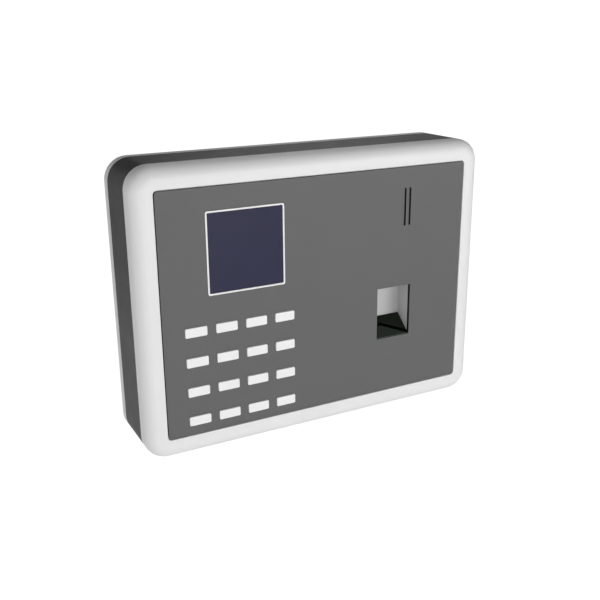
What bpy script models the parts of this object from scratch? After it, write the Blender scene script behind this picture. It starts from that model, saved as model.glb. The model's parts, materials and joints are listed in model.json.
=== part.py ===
"""Wall-mounted fingerprint time clock, modelled as the pieces it comes apart into.

Metres, +Z up. The front faces -Y and the wall is the plane Y = 0. The origin is the centre of the wall
plate's back face. X runs to the right as a person in front of the clock sees it.
Depths along Y are named *_Y and measured from the wall, so they are negative inside the clock.
"""
import math

import bmesh
import bpy
from mathutils import Matrix, Vector

MM = 0.001

# Driving dimensions of the case.
CASE_W = 179.6 * MM
CASE_H = 134.0 * MM
CORNER_R = 10.6 * MM
WALL = 2.2 * MM                  # thickness of the moulded shells
GAP = 0.2 * MM                   # parting line between two shells
LIP = 1.8 * MM                   # thickness of the tongue that one shell slides into the next
PANEL_FRONT_Y = -38.0 * MM
PANEL_T = 1.2 * MM
BEZEL_REAR_Y = -29.35 * MM       # light bezel meets dark middle shell
REAR_SEAM_Y = -5.6 * MM          # dark middle shell meets light rear cover
FLOOR_OUT_Y = -4.8 * MM          # rear cover's floor, recessed behind its rim
FLOOR_IN_Y = -6.8 * MM

# Bezel section.
BEZEL_RIM = 9.8 * MM             # from the case's side to the opening for the face panel
BEZEL_ROUND = 6.7 * MM           # radius of the bezel's outer edge
BEZEL_SIDE_Y = -32.1 * MM        # where that rounding starts
LEDGE = 2.8 * MM                 # shelf that carries the panel
OPENING_R = 1.9 * MM             # corner radius of the panel opening
HALF_W = CASE_W / 2
HALF_H = CASE_H / 2

# Face panel and what is cut in it. The panel sits towards the lower right of its opening.
PANEL_GAP = 0.25 * MM            # at the right and the bottom
PANEL_WIDE_GAP = 0.6 * MM        # at the left and the top
PANEL_BACK_Y = PANEL_FRONT_Y + PANEL_T
PANEL_X = (-HALF_W + BEZEL_RIM + PANEL_WIDE_GAP, HALF_W - BEZEL_RIM - PANEL_GAP)
PANEL_Z = (-HALF_H + BEZEL_RIM + PANEL_GAP, HALF_H - BEZEL_RIM - PANEL_WIDE_GAP)
WELL_X = (31.05 * MM, 50.2 * MM)
WELL_Z = (-28.7 * MM, -2.4 * MM)

# Display.
DISPLAY_X = -38.5 * MM
DISPLAY_Z = 27.1 * MM
DISPLAY_SIDE = 37.9 * MM         # outside of the display's white frame
DISPLAY_LINE = 0.8 * MM          # width of that frame
DISPLAY_FIT = 0.15 * MM          # clearance all round the window inside it
LCD_CELL_W = 44.0 * MM
LCD_CELL_H = 45.0 * MM
LCD_BOARD_W = 53.0 * MM
LCD_BOARD_Y = (-32.0 * MM, -31.0 * MM)
LCD_STAKES = tuple(
    (DISPLAY_X + sx * 24.2 * MM, DISPLAY_Z + sz * 20.0 * MM) for sx in (-1, 1) for sz in (-1, 1)
)

# Indicator lights behind two slots in the panel.
SLOT_X = (45.75 * MM, 48.5 * MM)
SLOT_Z = (28.1 * MM, 46.6 * MM)
SLOT_W = 1.15 * MM
SLOT_MIDDLE_X = sum(SLOT_X) / 2
GUIDE_Y = (-36.6 * MM, -34.8 * MM)
LIGHT_Y = (-33.4 * MM, -31.4 * MM)
LIGHT_BOARD_Y = (-31.2 * MM, -30.2 * MM)

# Keypad.
KEY_COLUMNS_X = tuple((-63.96 + 14.7 * i) * MM for i in range(3)) + (-20.1 * MM,)
KEY_ROWS_Z = tuple((-7.48 - 14.25 * i) * MM for i in range(4))
KEY_W = 10.5 * MM
KEY_LAST_W = 9.85 * MM           # the fourth column is slightly narrower
KEY_H = 4.52 * MM
KEY_R = 0.6 * MM
KEY_CLEAR = 0.15 * MM
KEY_PROUD = 0.5 * MM
KEY_FLANGE = 0.9 * MM            # how far the flange reaches past the cap
FLANGE_T = 1.0 * MM
KEY_TRAVEL = 1.0 * MM
MAT_X = (-73.0 * MM, -11.5 * MM)
MAT_Z = (-54.0 * MM, -1.5 * MM)
MAT_Y = (-32.2 * MM, -31.4 * MM)
KEY_BOARD_Y = (-31.2 * MM, -30.0 * MM)
KEY_STAKES = tuple((x * MM, z * MM) for x in (-56.6, -27.35) for z in (-43.1, -14.6))
STAKE_R = 1.1 * MM
STAKE_HOLE_R = 1.4 * MM
STAKE_HEAD = 0.8 * MM            # how far a stake reaches past its board

# Fingerprint sensor.
WELL_BACK_Y = PANEL_FRONT_Y + 10.1 * MM
WELL_WALL = 1.3 * MM
WELL_FLANGE = 2.0 * MM
WELL_FLANGE_T = 1.2 * MM
PRISM_TOP_Z = -20.1 * MM         # top of its slope, at the well's back wall
PRISM_SET_BACK = 0.2 * MM        # from the panel's face to its front edge
PRISM_LIP = 0.2 * MM             # height of its front edge
EYE_Z = (1.2 * MM, 7.2 * MM)     # window behind the prism, above the well's lower end
LENS_R = 2.4 * MM
SENSOR_BOX_Y = (-26.2 * MM, -22.4 * MM)
SENSOR_BOARD_Y = (-22.2 * MM, -21.2 * MM)

# Main board, on the rear cover's four standoffs.
BOARD_X = (-60.0 * MM, 56.0 * MM)
BOARD_Z = (-62.0 * MM, 34.0 * MM)
BOARD_Y = (-20.5 * MM, -18.9 * MM)
BOARD_HOLES = tuple((x * MM, z * MM) for x in (-54.0, 50.0) for z in (-55.0, 28.0))
REST_GAP = 0.2 * MM              # between pieces that rest on each other
BOARD_FRONT_Y = BOARD_Y[0] - REST_GAP
BOARD_REAR_Y = BOARD_Y[1] + REST_GAP
JACK_END_Y = -5.2 * MM           # sockets end just inside the rear cover's windows
JACK_Z = -22.0 * MM
ETHERNET_X = -18.0 * MM
POWER_X = 0.0
BLOCK_X = 18.0 * MM
TERMINALS = 6
TERMINAL_PITCH = 3.5 * MM
USB_X = 20.0 * MM

# Speaker, facing down onto slots in the middle shell.
SPEAKER_X = 67.0 * MM
SPEAKER_Y = -16.9 * MM
SPEAKER_Z = -HALF_H + WALL + 0.3 * MM
SPEAKER_R = 7.6 * MM
SOUND_SLOTS = 5
SOUND_SLOT_PITCH = 2.4 * MM
SOUND_SLOT_W = 1.2 * MM
SOUND_SLOT_LENGTH = 10.0 * MM

# Corner screws that hold the three shells together.
BOSS_X = 82.7 * MM
BOSS_Z = 59.9 * MM
BOSS_SPLIT_Y = -31.2 * MM
CORNERS = tuple((sx * BOSS_X, sz * BOSS_Z) for sx in (-1, 1) for sz in (-1, 1))
CORNER_NAMES = ("lower_left", "upper_left", "lower_right", "upper_right")

# Wall plate.
PLATE_T = 1.2 * MM
PLATE_W = 110.0 * MM
PLATE_H = 84.0 * MM
TONGUE_W = 16.0 * MM
TONGUE_END_Z = -64.2 * MM
HOOKS = tuple((sx * 42.0 * MM, z * MM) for sx in (-1, 1) for z in (-20.0, 24.0))
HOOK_W = 8.0 * MM
WALL_HOLES = tuple((sx * 45.0 * MM, sz * 34.0 * MM) for sx in (-1, 1) for sz in (-1, 1))
WALL_HOLE_R = 2.4 * MM
CABLE_X = (-30.0 * MM, 30.0 * MM)
CABLE_Z = (-36.0 * MM, -8.0 * MM)
LOCK_Y = -2.5 * MM

# Tamper plunger and reset button.
TAMPER_X = 34.0 * MM
TAMPER_Z = 12.0 * MM
RESET_X = 24.0 * MM
RESET_Z = -32.0 * MM

CORNER_STEPS = 8                 # segments in each quarter turn of the case's outline
ROUND_STEPS = 20                 # segments round a small turned piece

parts = None
cutters = None
materials = {}


def clear_scene():
    for obj in list(bpy.data.objects):
        bpy.data.objects.remove(obj)


def make_collections():
    """One collection for the object, and one for the shapes that only cut it or are joined to it."""
    global parts, cutters
    parts = bpy.data.collections.new("fingerprint_time_clock")
    cutters = bpy.data.collections.new("cutters")
    for collection in (parts, cutters):
        bpy.context.scene.collection.children.link(collection)


def material(name, colour, roughness, metallic=0.0, transmission=0.0):
    """A Principled material, made once for each name."""
    if name not in materials:
        made = bpy.data.materials.new(name)
        made.use_nodes = True
        shader = made.node_tree.nodes["Principled BSDF"]
        shader.inputs["Base Color"].default_value = (*colour, 1.0)
        shader.inputs["Roughness"].default_value = roughness
        shader.inputs["Metallic"].default_value = metallic
        shader.inputs["Transmission Weight"].default_value = transmission
        materials[name] = made
    return materials[name]


def light_plastic():
    return material("light_plastic", (0.80, 0.80, 0.80), 0.38)


def dark_plastic():
    return material("dark_plastic", (0.065, 0.065, 0.065), 0.45)


def panel_plastic():
    return material("panel_plastic", (0.140, 0.140, 0.140), 0.42)


def key_plastic():
    return material("key_plastic", (0.87, 0.87, 0.87), 0.40)


def black_plastic():
    return material("black_plastic", (0.018, 0.018, 0.018), 0.5)


def circuit_board():
    return material("circuit_board", (0.02, 0.16, 0.07), 0.45)


def bright_metal():
    return material("bright_metal", (0.72, 0.72, 0.73), 0.28, metallic=1.0)


def plate_steel():
    return material("plate_steel", (0.55, 0.56, 0.58), 0.38, metallic=1.0)


# ---------------------------------------------------------------- outlines, in the XZ plane

def rounded_rect(centre_x, centre_z, width, height, radius, steps=4):
    """Points of a rounded rectangle, anticlockwise from its right side's lower end."""
    points = []
    for quarter, (sx, sz) in enumerate(((1, 1), (-1, 1), (-1, -1), (1, -1))):
        corner_x = centre_x + sx * (width / 2 - radius)
        corner_z = centre_z + sz * (height / 2 - radius)
        for step in range(steps + 1):
            angle = math.pi / 2 * (quarter + step / steps)
            points.append((corner_x + radius * math.cos(angle), corner_z + radius * math.sin(angle)))
    return points


def rect(x_range, z_range, radius=0.0, steps=3):
    """The outline of a plain or rounded rectangle, given as ranges."""
    (x0, x1), (z0, z1) = x_range, z_range
    if radius <= 0.0:
        return [(x0, z0), (x1, z0), (x1, z1), (x0, z1)]
    return rounded_rect((x0 + x1) / 2, (z0 + z1) / 2, x1 - x0, z1 - z0, radius, steps)


def circle(centre_x, centre_z, radius, steps=ROUND_STEPS):
    turn = 2 * math.pi / steps
    return [
        (centre_x + radius * math.cos(turn * i), centre_z + radius * math.sin(turn * i))
        for i in range(steps)
    ]


def case_loop(inset, smallest_radius=OPENING_R, steps=CORNER_STEPS):
    """The case's outline moved inwards by inset. Every loop has the same number of points."""
    radius = max(CORNER_R - inset, smallest_radius)
    return rounded_rect(0.0, 0.0, CASE_W - 2 * inset, CASE_H - 2 * inset, radius, steps)


# ---------------------------------------------------------------- shapes

def add_object(name, data, look=None, helper=False):
    obj = bpy.data.objects.new(name, data)
    (cutters if helper else parts).objects.link(obj)
    if helper:
        obj.hide_render = True
        obj.display_type = "WIRE"
    elif look:
        data.materials.append(look)
    return obj


def shade_round(obj, angle=35.0):
    obj.data.shade_smooth()
    obj.data.set_sharp_from_angle(angle=math.radians(angle))


def loft(name, sections, look=None, closed=False, helper=False):
    """Skins loops of equal length, given as (outline, y). A closed loft is a ring; an open one is capped."""
    mesh = bmesh.new()
    rows = [[mesh.verts.new((x, y, z)) for x, z in outline] for outline, y in sections]
    pairs = list(zip(rows, rows[1:]))
    if closed:
        pairs.append((rows[-1], rows[0]))
    for row, following in pairs:
        count = len(row)
        for i in range(count):
            j = (i + 1) % count
            mesh.faces.new((row[i], row[j], following[j], following[i]))
    if not closed:
        mesh.faces.new(rows[0])
        mesh.faces.new(rows[-1])
    bmesh.ops.recalc_face_normals(mesh, faces=mesh.faces)
    data = bpy.data.meshes.new(name)
    mesh.to_mesh(data)
    mesh.free()
    obj = add_object(name, data, look, helper)
    shade_round(obj)
    return obj


def case_ring(name, profile, look, smallest_radius=OPENING_R):
    """A ring round the case, from a closed profile of (inset, y)."""
    sections = [(case_loop(inset, smallest_radius), y) for inset, y in profile]
    return loft(name, sections, look, closed=True)


def plate(name, outlines, y_range, look=None, helper=False):
    """A flat plate of constant thickness. The first outline is its edge and the others are holes."""
    curve = bpy.data.curves.new(name, "CURVE")
    curve.dimensions = "2D"
    curve.fill_mode = "BOTH"
    curve.extrude = (y_range[1] - y_range[0]) / 2
    for outline in outlines:
        spline = curve.splines.new("POLY")
        spline.points.add(len(outline) - 1)
        for point, (x, z) in zip(spline.points, outline):
            point.co = (x, z, 0.0, 1.0)
        spline.use_cyclic_u = True
    obj = add_object(name, curve, look, helper)
    obj.rotation_euler = (math.pi / 2, 0.0, 0.0)
    obj.location = (0.0, (y_range[0] + y_range[1]) / 2, 0.0)
    return obj


def as_mesh(obj):
    """Replaces a curve object by a mesh object that Boolean modifiers can work on."""
    name = obj.name
    helper = obj.hide_render
    look = obj.data.materials[0] if len(obj.data.materials) else None
    bpy.context.view_layer.update()
    evaluated = obj.evaluated_get(bpy.context.evaluated_depsgraph_get())
    data = bpy.data.meshes.new_from_object(evaluated)
    place = obj.matrix_world.copy()
    bpy.data.objects.remove(obj)
    mesh = bmesh.new()
    mesh.from_mesh(data)
    bmesh.ops.remove_doubles(mesh, verts=mesh.verts, dist=0.001 * MM)
    bmesh.ops.beautify_fill(mesh, faces=mesh.faces, edges=mesh.edges)
    bmesh.ops.recalc_face_normals(mesh, faces=mesh.faces)
    mesh.to_mesh(data)
    mesh.free()
    data.materials.clear()
    made = add_object(name, data, look, helper)
    made.matrix_world = place
    return made


def block(name, x_range, y_range, z_range, look=None, bevel=0.0, helper=False):
    """A box, with all its edges rounded if bevel is given."""
    mesh = bmesh.new()
    bmesh.ops.create_cube(mesh, size=1.0)
    ranges = (x_range, y_range, z_range)
    size = Vector([high - low for low, high in ranges])
    centre = Vector([(high + low) / 2 for low, high in ranges])
    bmesh.ops.scale(mesh, vec=size, verts=mesh.verts)
    data = bpy.data.meshes.new(name)
    mesh.to_mesh(data)
    mesh.free()
    obj = add_object(name, data, look, helper)
    obj.location = centre
    if bevel > 0.0:
        rounding = obj.modifiers.new("rounded_edges", "BEVEL")
        rounding.width = bevel
        rounding.segments = 2
        rounding.limit_method = "ANGLE"
    return obj


def round_bar(name, centre, radius, y_range, look=None, steps=ROUND_STEPS, helper=False):
    """A cylinder along Y at (x, z)."""
    mesh = bmesh.new()
    length = y_range[1] - y_range[0]
    along_y = Matrix.Rotation(math.pi / 2, 4, "X")
    bmesh.ops.create_cone(
        mesh, cap_ends=True, segments=steps, radius1=radius, radius2=radius, depth=length, matrix=along_y
    )
    data = bpy.data.meshes.new(name)
    mesh.to_mesh(data)
    mesh.free()
    obj = add_object(name, data, look, helper)
    obj.location = (centre[0], sum(y_range) / 2, centre[1])
    shade_round(obj)
    return obj


def turned(name, profile, look, steps=ROUND_STEPS):
    """A turned piece about local Z, from (radius, height) points that run from its top to its bottom."""
    data = bpy.data.meshes.new(name)
    points = [(radius, 0.0, height) for radius, height in profile]
    data.from_pydata(points, [(i, i + 1) for i in range(len(points) - 1)], [])
    obj = add_object(name, data, look)
    screw = obj.modifiers.new("turned", "SCREW")
    screw.axis = "Z"
    screw.steps = steps
    screw.render_steps = steps
    screw.use_merge_vertices = True
    screw.merge_threshold = 0.00001
    screw.use_smooth_shade = False
    return obj


def boolean(obj, tool, operation):
    modifier = obj.modifiers.new(f"{operation.lower()}_{tool.name}", "BOOLEAN")
    modifier.operation = operation
    modifier.solver = "EXACT"
    modifier.object = tool
    return obj


def cut(obj, *tools):
    for tool in tools:
        boolean(obj, tool, "DIFFERENCE")
    return obj


def join(obj, *tools):
    for tool in tools:
        boolean(obj, tool, "UNION")
    return obj


def cut_bar(name, centre, radius, y_range, steps=ROUND_STEPS):
    return round_bar(name, centre, radius, y_range, steps=steps, helper=True)


def cut_block(name, x_range, y_range, z_range):
    return block(name, x_range, y_range, z_range, helper=True)


# ---------------------------------------------------------------- shells

def rounding_point(radius, angle):
    """A point of (inset, y) on an arc about the centre of the bezel's rounding."""
    return BEZEL_ROUND - radius * math.cos(angle), BEZEL_SIDE_Y - radius * math.sin(angle)


def front_bezel():
    """The light ring: a channel section with a rounded outer edge and a shelf for the face panel."""
    quarter = [math.pi / 2 * i / 6 for i in range(7)]
    skin = BEZEL_ROUND - WALL
    crown_y = BEZEL_SIDE_Y - BEZEL_ROUND
    inner_edge = BEZEL_RIM
    ledge_front_y = PANEL_BACK_Y + REST_GAP
    ledge_back_y = ledge_front_y + LIP
    outer = [rounding_point(BEZEL_ROUND, angle) for angle in quarter]
    inner = [rounding_point(skin, angle) for angle in reversed(quarter)]
    profile = [(0.0, BEZEL_REAR_Y)] + outer
    profile += [
        (inner_edge - 0.35 * MM, crown_y + 0.1 * MM),
        (inner_edge, crown_y + 0.4 * MM),
        (inner_edge, ledge_front_y),
        (inner_edge + LEDGE, ledge_front_y),
        (inner_edge + LEDGE, ledge_back_y),
        (inner_edge - LIP, ledge_back_y),
    ]
    profile += inner
    profile += [(WALL, BEZEL_REAR_Y)]
    bezel = case_ring("front_bezel", profile, light_plastic())
    for name, (x, z) in zip(CORNER_NAMES, CORNERS):
        post_y = (crown_y + WALL * 0.8, BOSS_SPLIT_Y - REST_GAP)
        bore_y = (crown_y + WALL * 1.6, BOSS_SPLIT_Y + 1 * MM)
        join(bezel, round_bar(f"bezel_boss_{name}", (x, z), 3.0 * MM, post_y, helper=True))
        cut(bezel, cut_bar(f"bezel_bore_{name}", (x, z), 1.7 * MM, bore_y))
    return bezel


def mid_shell():
    """The dark tube behind the bezel, with a tongue, four screw columns, a USB window and sound slots."""
    tongue = WALL + GAP
    profile = [
        (0.0, BEZEL_REAR_Y + GAP),
        (tongue, BEZEL_REAR_Y + GAP),
        (tongue, BOSS_SPLIT_Y),
        (tongue + LIP, BOSS_SPLIT_Y),
        (tongue + LIP, BEZEL_REAR_Y + 2.4 * MM),
        (WALL, BEZEL_REAR_Y + 4.4 * MM),
        (WALL, REAR_SEAM_Y - GAP),
        (0.0, REAR_SEAM_Y - GAP),
    ]
    shell = case_ring("mid_shell", profile, dark_plastic())
    column_y = (BEZEL_REAR_Y + 0.4 * MM, FLOOR_IN_Y - 2.4 * MM)
    neck_y = (BOSS_SPLIT_Y, column_y[0] + MM)
    bore_y = (neck_y[0] - MM, column_y[1] + MM)
    for name, (x, z) in zip(CORNER_NAMES, CORNERS):
        join(shell, round_bar(f"shell_column_{name}", (x, z), 3.8 * MM, column_y, helper=True))
        join(shell, round_bar(f"shell_neck_{name}", (x, z), 3.0 * MM, neck_y, helper=True))
        cut(shell, cut_bar(f"shell_bore_{name}", (x, z), 1.9 * MM, bore_y))
    under = (-HALF_H - MM, -HALF_H + 2 * WALL + 1 * MM)
    usb_x = (USB_X - 7.2 * MM, USB_X + 7.2 * MM)
    cut(shell, cut_block("usb_window", usb_x, (-27.0 * MM, -20.2 * MM), under))
    sound_y = (SPEAKER_Y - SOUND_SLOT_LENGTH / 2, SPEAKER_Y + SOUND_SLOT_LENGTH / 2)
    for i in range(SOUND_SLOTS):
        slot_x = SPEAKER_X + (i - (SOUND_SLOTS - 1) / 2) * SOUND_SLOT_PITCH
        slot_range = (slot_x - SOUND_SLOT_W / 2, slot_x + SOUND_SLOT_W / 2)
        cut(shell, cut_block(f"sound_slot_{i + 1}", slot_range, sound_y, under))
    return shell


def rear_cover():
    """The light rear tray: rim, recessed floor, tongue, board standoffs and windows for the sockets."""
    tongue = WALL + GAP
    edge = 0.7 * MM
    sections = [
        (case_loop(tongue + LIP), FLOOR_IN_Y),
        (case_loop(tongue + LIP), FLOOR_IN_Y - 2.0 * MM),
        (case_loop(tongue), FLOOR_IN_Y - 2.0 * MM),
        (case_loop(tongue), REAR_SEAM_Y),
        (case_loop(0.0), REAR_SEAM_Y),
        (case_loop(0.0), -edge),
        (case_loop(0.3 * edge), -0.3 * edge),
        (case_loop(edge), 0.0),
        (case_loop(tongue), 0.0),
        (case_loop(tongue), FLOOR_OUT_Y),
    ]
    cover = loft("rear_cover", sections, light_plastic())
    through = (FLOOR_IN_Y - 4 * MM, FLOOR_OUT_Y + 2 * MM)
    for number, (x, z) in enumerate(BOARD_HOLES, 1):
        post_y = (BOARD_Y[1] + REST_GAP, FLOOR_IN_Y + 0.5 * MM)
        bore_y = (post_y[0] - MM, post_y[0] + 8 * MM)
        join(cover, round_bar(f"standoff_{number}", (x, z), 3.0 * MM, post_y, helper=True))
        cut(cover, cut_bar(f"standoff_bore_{number}", (x, z), 1.4 * MM, bore_y))
    for name, (x, z) in zip(CORNER_NAMES, CORNERS):
        cut(cover, cut_bar(f"cover_hole_{name}", (x, z), 1.9 * MM, through))
    for number, (x, z) in enumerate(HOOKS, 1):
        slot_x = (x - HOOK_W / 2 - 0.5 * MM, x + HOOK_W / 2 + 0.5 * MM)
        slot_z = (z - 4.6 * MM, z + 0.3 * MM)
        cut(cover, cut_block(f"hook_slot_{number}", slot_x, through, slot_z))
    windows = (
        ("ethernet_window", ETHERNET_X, 8.4 * MM, 7.4 * MM),
        ("power_window", POWER_X, 4.9 * MM, 5.9 * MM),
        ("block_window", BLOCK_X, 11.3 * MM, 4.9 * MM),
    )
    for name, x, half_x, half_z in windows:
        window_z = (JACK_Z - half_z, JACK_Z + half_z)
        cut(cover, cut_block(name, (x - half_x, x + half_x), through, window_z))
    cut(cover, cut_bar("tamper_hole", (TAMPER_X, TAMPER_Z), 1.9 * MM, through))
    cut(cover, cut_bar("reset_hole", (RESET_X, RESET_Z), 1.5 * MM, through))
    lock_hole = lock_tool("lock_hole", 1.3 * MM, (-HALF_H - MM, -HALF_H + 2 * tongue))
    lock_seat = lock_tool("lock_seat", 2.0 * MM, (-HALF_H - MM, -HALF_H + 1.3 * MM))
    return cut(cover, lock_hole, lock_seat)


def lock_tool(name, radius, z_range):
    """A vertical cutter on the security screw's axis."""
    half = (z_range[1] - z_range[0]) / 2
    tool = cut_bar(name, (0.0, 0.0), radius, (-half, half))
    tool.rotation_euler = (math.pi / 2, 0.0, 0.0)
    tool.location = (0.0, LOCK_Y, sum(z_range) / 2)
    return tool


def face_panel():
    """The dark face plate, with its windows, and stakes behind it that carry the keypad and the display."""
    outlines = [
        rect(PANEL_X, PANEL_Z, OPENING_R - PANEL_GAP, 4),
        display_outline(-DISPLAY_FIT, 1.0 * MM),
        rect(WELL_X, WELL_Z),
    ]
    for x in SLOT_X:
        outlines.append(rect((x - SLOT_W / 2, x + SLOT_W / 2), SLOT_Z, SLOT_W * 0.45))
    for row in KEY_ROWS_Z:
        for column, x in enumerate(KEY_COLUMNS_X):
            width = key_width(column) + 2 * KEY_CLEAR
            outlines.append(rounded_rect(x, row, width, KEY_H + 2 * KEY_CLEAR, KEY_R + KEY_CLEAR, 2))
    panel = as_mesh(plate("face_panel", outlines, (PANEL_FRONT_Y, PANEL_BACK_Y), panel_plastic()))
    stakes = [(x, z, KEY_BOARD_Y[1] + STAKE_HEAD) for x, z in KEY_STAKES]
    stakes += [(x, z, LCD_BOARD_Y[1] + STAKE_HEAD) for x, z in LCD_STAKES]
    for number, (x, z, end_y) in enumerate(stakes, 1):
        stake_y = (PANEL_BACK_Y - 0.4 * MM, end_y)
        join(panel, round_bar(f"stake_{number}", (x, z), STAKE_R, stake_y, steps=10, helper=True))
    return panel


# ---------------------------------------------------------------- display

def display_outline(inset, radius, steps=3):
    """The display frame's outline moved inwards by inset."""
    side = DISPLAY_SIDE - 2 * inset
    return rounded_rect(DISPLAY_X, DISPLAY_Z, side, side, radius, steps)


def display_trim():
    """The thin white frame round the window."""
    front = PANEL_FRONT_Y - 0.15 * MM
    back = PANEL_BACK_Y
    outer = display_outline(0.0, 0.9 * MM)
    inner = display_outline(DISPLAY_LINE, 0.4 * MM)
    sections = [(outer, back), (outer, front), (inner, front), (inner, back)]
    return loft("display_trim", sections, key_plastic(), closed=True)


def display_window():
    """The tinted window inside the trim."""
    look = material("display_tint", (0.036, 0.037, 0.070), 0.12)
    outline = display_outline(DISPLAY_LINE + DISPLAY_FIT, 0.3 * MM, 2)
    return loft("display_window", [(outline, PANEL_FRONT_Y), (outline, PANEL_BACK_Y)], look)


def lcd_module():
    """The display's glass and frame on its board, which hangs on the panel's stakes."""
    x_range = (DISPLAY_X - LCD_CELL_W / 2, DISPLAY_X + LCD_CELL_W / 2)
    z_range = (DISPLAY_Z - LCD_CELL_H / 2, DISPLAY_Z + LCD_CELL_H / 2)
    board_x = (DISPLAY_X - LCD_BOARD_W / 2, DISPLAY_X + LCD_BOARD_W / 2)
    outlines = [rect(board_x, z_range, 1.5 * MM)]
    outlines += [circle(x, z, STAKE_HOLE_R, 12) for x, z in LCD_STAKES]
    module = as_mesh(plate("lcd_module", outlines, LCD_BOARD_Y, bright_metal()))
    glass_y = (PANEL_BACK_Y + REST_GAP, LCD_BOARD_Y[0] + 0.4 * MM)
    return join(module, block("lcd_cell", x_range, glass_y, z_range, helper=True))


# ---------------------------------------------------------------- keypad

def key_width(column):
    return KEY_LAST_W if column == len(KEY_COLUMNS_X) - 1 else KEY_W


def key_mesh(name, width):
    """A key cap with soft edges and the flange that keeps it behind the panel, about its own origin."""
    soft = 0.25 * MM
    front = -KEY_PROUD
    flange_y = PANEL_T + REST_GAP
    wide = width + 2 * KEY_FLANGE
    tall = KEY_H + 2 * KEY_FLANGE
    sections = [
        (rounded_rect(0, 0, width - 2 * soft, KEY_H - 2 * soft, KEY_R - soft, 2), front),
        (rounded_rect(0, 0, width - 0.6 * soft, KEY_H - 0.6 * soft, KEY_R - 0.3 * soft, 2),
         front + 0.3 * soft),
        (rounded_rect(0, 0, width, KEY_H, KEY_R, 2), front + soft),
        (rounded_rect(0, 0, width, KEY_H, KEY_R, 2), flange_y),
        (rounded_rect(0, 0, wide, tall, KEY_R, 2), flange_y),
        (rounded_rect(0, 0, wide, tall, KEY_R, 2), flange_y + FLANGE_T),
    ]
    return loft(name, sections, key_plastic())


def keys():
    """Four rows of four keys. Each has its origin on its own axis at the panel's front face."""
    shared = {}
    for row, z in enumerate(KEY_ROWS_Z, 1):
        for column, x in enumerate(KEY_COLUMNS_X):
            name = f"key_row{row}_col{column + 1}"
            width = key_width(column)
            if width in shared:
                key = add_object(name, shared[width])
            else:
                key = key_mesh(name, width)
                shared[width] = key.data
            key.location = (x, PANEL_FRONT_Y, z)


def key_mat():
    """The silicone mat, with a dome standing behind each key."""
    sheet = [rect(MAT_X, MAT_Z, 2.0 * MM)]
    sheet += [circle(x, z, 1.6 * MM, 10) for x, z in KEY_STAKES]
    silicone = material("silicone", (0.30, 0.31, 0.32), 0.6)
    mat = as_mesh(plate("key_mat", sheet, MAT_Y, silicone))
    flange_back_y = PANEL_FRONT_Y + PANEL_T + REST_GAP + FLANGE_T
    dome_y = (flange_back_y + REST_GAP, MAT_Y[0] + 0.3 * MM)
    for row, z in enumerate(KEY_ROWS_Z, 1):
        for column, x in enumerate(KEY_COLUMNS_X, 1):
            top = rounded_rect(x, z, 5.0 * MM, 2.6 * MM, 0.8 * MM, 2)
            foot = rounded_rect(x, z, 8.6 * MM, 5.4 * MM, 1.4 * MM, 2)
            sections = [(top, dome_y[0]), (top, dome_y[0] + 0.6 * MM), (foot, dome_y[1])]
            join(mat, loft(f"dome_{row}_{column}", sections, helper=True))
    return mat


def keypad_board():
    outlines = [rect((MAT_X[0] - 0.5 * MM, MAT_X[1] + 0.5 * MM), (MAT_Z[0], MAT_Z[1]), 2.0 * MM)]
    outlines += [circle(x, z, STAKE_HOLE_R, 12) for x, z in KEY_STAKES]
    return plate("keypad_board", outlines, KEY_BOARD_Y, circuit_board())


# ---------------------------------------------------------------- fingerprint sensor

def finger_well():
    """The light cup behind the panel that guides the finger onto the glass."""
    outer_x = (WELL_X[0] - WELL_WALL, WELL_X[1] + WELL_WALL)
    outer_z = (WELL_Z[0] - WELL_WALL, WELL_Z[1] + WELL_WALL)
    flange_x = (outer_x[0] - WELL_FLANGE, outer_x[1] + WELL_FLANGE)
    flange_z = (outer_z[0] - WELL_FLANGE, outer_z[1] + WELL_FLANGE)
    front_y = PANEL_BACK_Y + REST_GAP
    look = material("well_plastic", (0.62, 0.62, 0.62), 0.45)
    well = block("finger_well", outer_x, (front_y, WELL_BACK_Y + WELL_WALL), outer_z, look)
    join(well, block("well_flange", flange_x, (front_y, front_y + WELL_FLANGE_T), flange_z, helper=True))
    cut(well, cut_block("well_cavity", WELL_X, (front_y - MM, WELL_BACK_Y), WELL_Z))
    eye_x = (WELL_X[0] + 3 * MM, WELL_X[1] - 3 * MM)
    eye_z = (WELL_Z[0] + EYE_Z[0], WELL_Z[0] + EYE_Z[1])
    return cut(well, cut_block("well_eye", eye_x, (WELL_BACK_Y - MM, WELL_BACK_Y + WELL_WALL + MM), eye_z))


def sensor_prism():
    """The dark glass prism. Its slope, where the finger is laid, runs out through the panel's opening."""
    front_y = PANEL_FRONT_Y + PRISM_SET_BACK
    back_y = WELL_BACK_Y - REST_GAP
    foot_z = WELL_Z[0] + REST_GAP
    section = [(front_y, foot_z), (front_y, foot_z + PRISM_LIP), (back_y, PRISM_TOP_Z), (back_y, foot_z)]
    mesh = bmesh.new()
    ends = []
    for x in (WELL_X[0] + REST_GAP, WELL_X[1] - REST_GAP):
        ends.append([mesh.verts.new((x, y, z)) for y, z in section])
    near, far = ends
    for i in range(len(section)):
        j = (i + 1) % len(section)
        mesh.faces.new((near[i], near[j], far[j], far[i]))
    mesh.faces.new(near)
    mesh.faces.new(far)
    bmesh.ops.recalc_face_normals(mesh, faces=mesh.faces)
    data = bpy.data.meshes.new("sensor_prism")
    mesh.to_mesh(data)
    mesh.free()
    return add_object("sensor_prism", data, material("sensor_glass", (0.012, 0.020, 0.014), 0.06))


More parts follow.
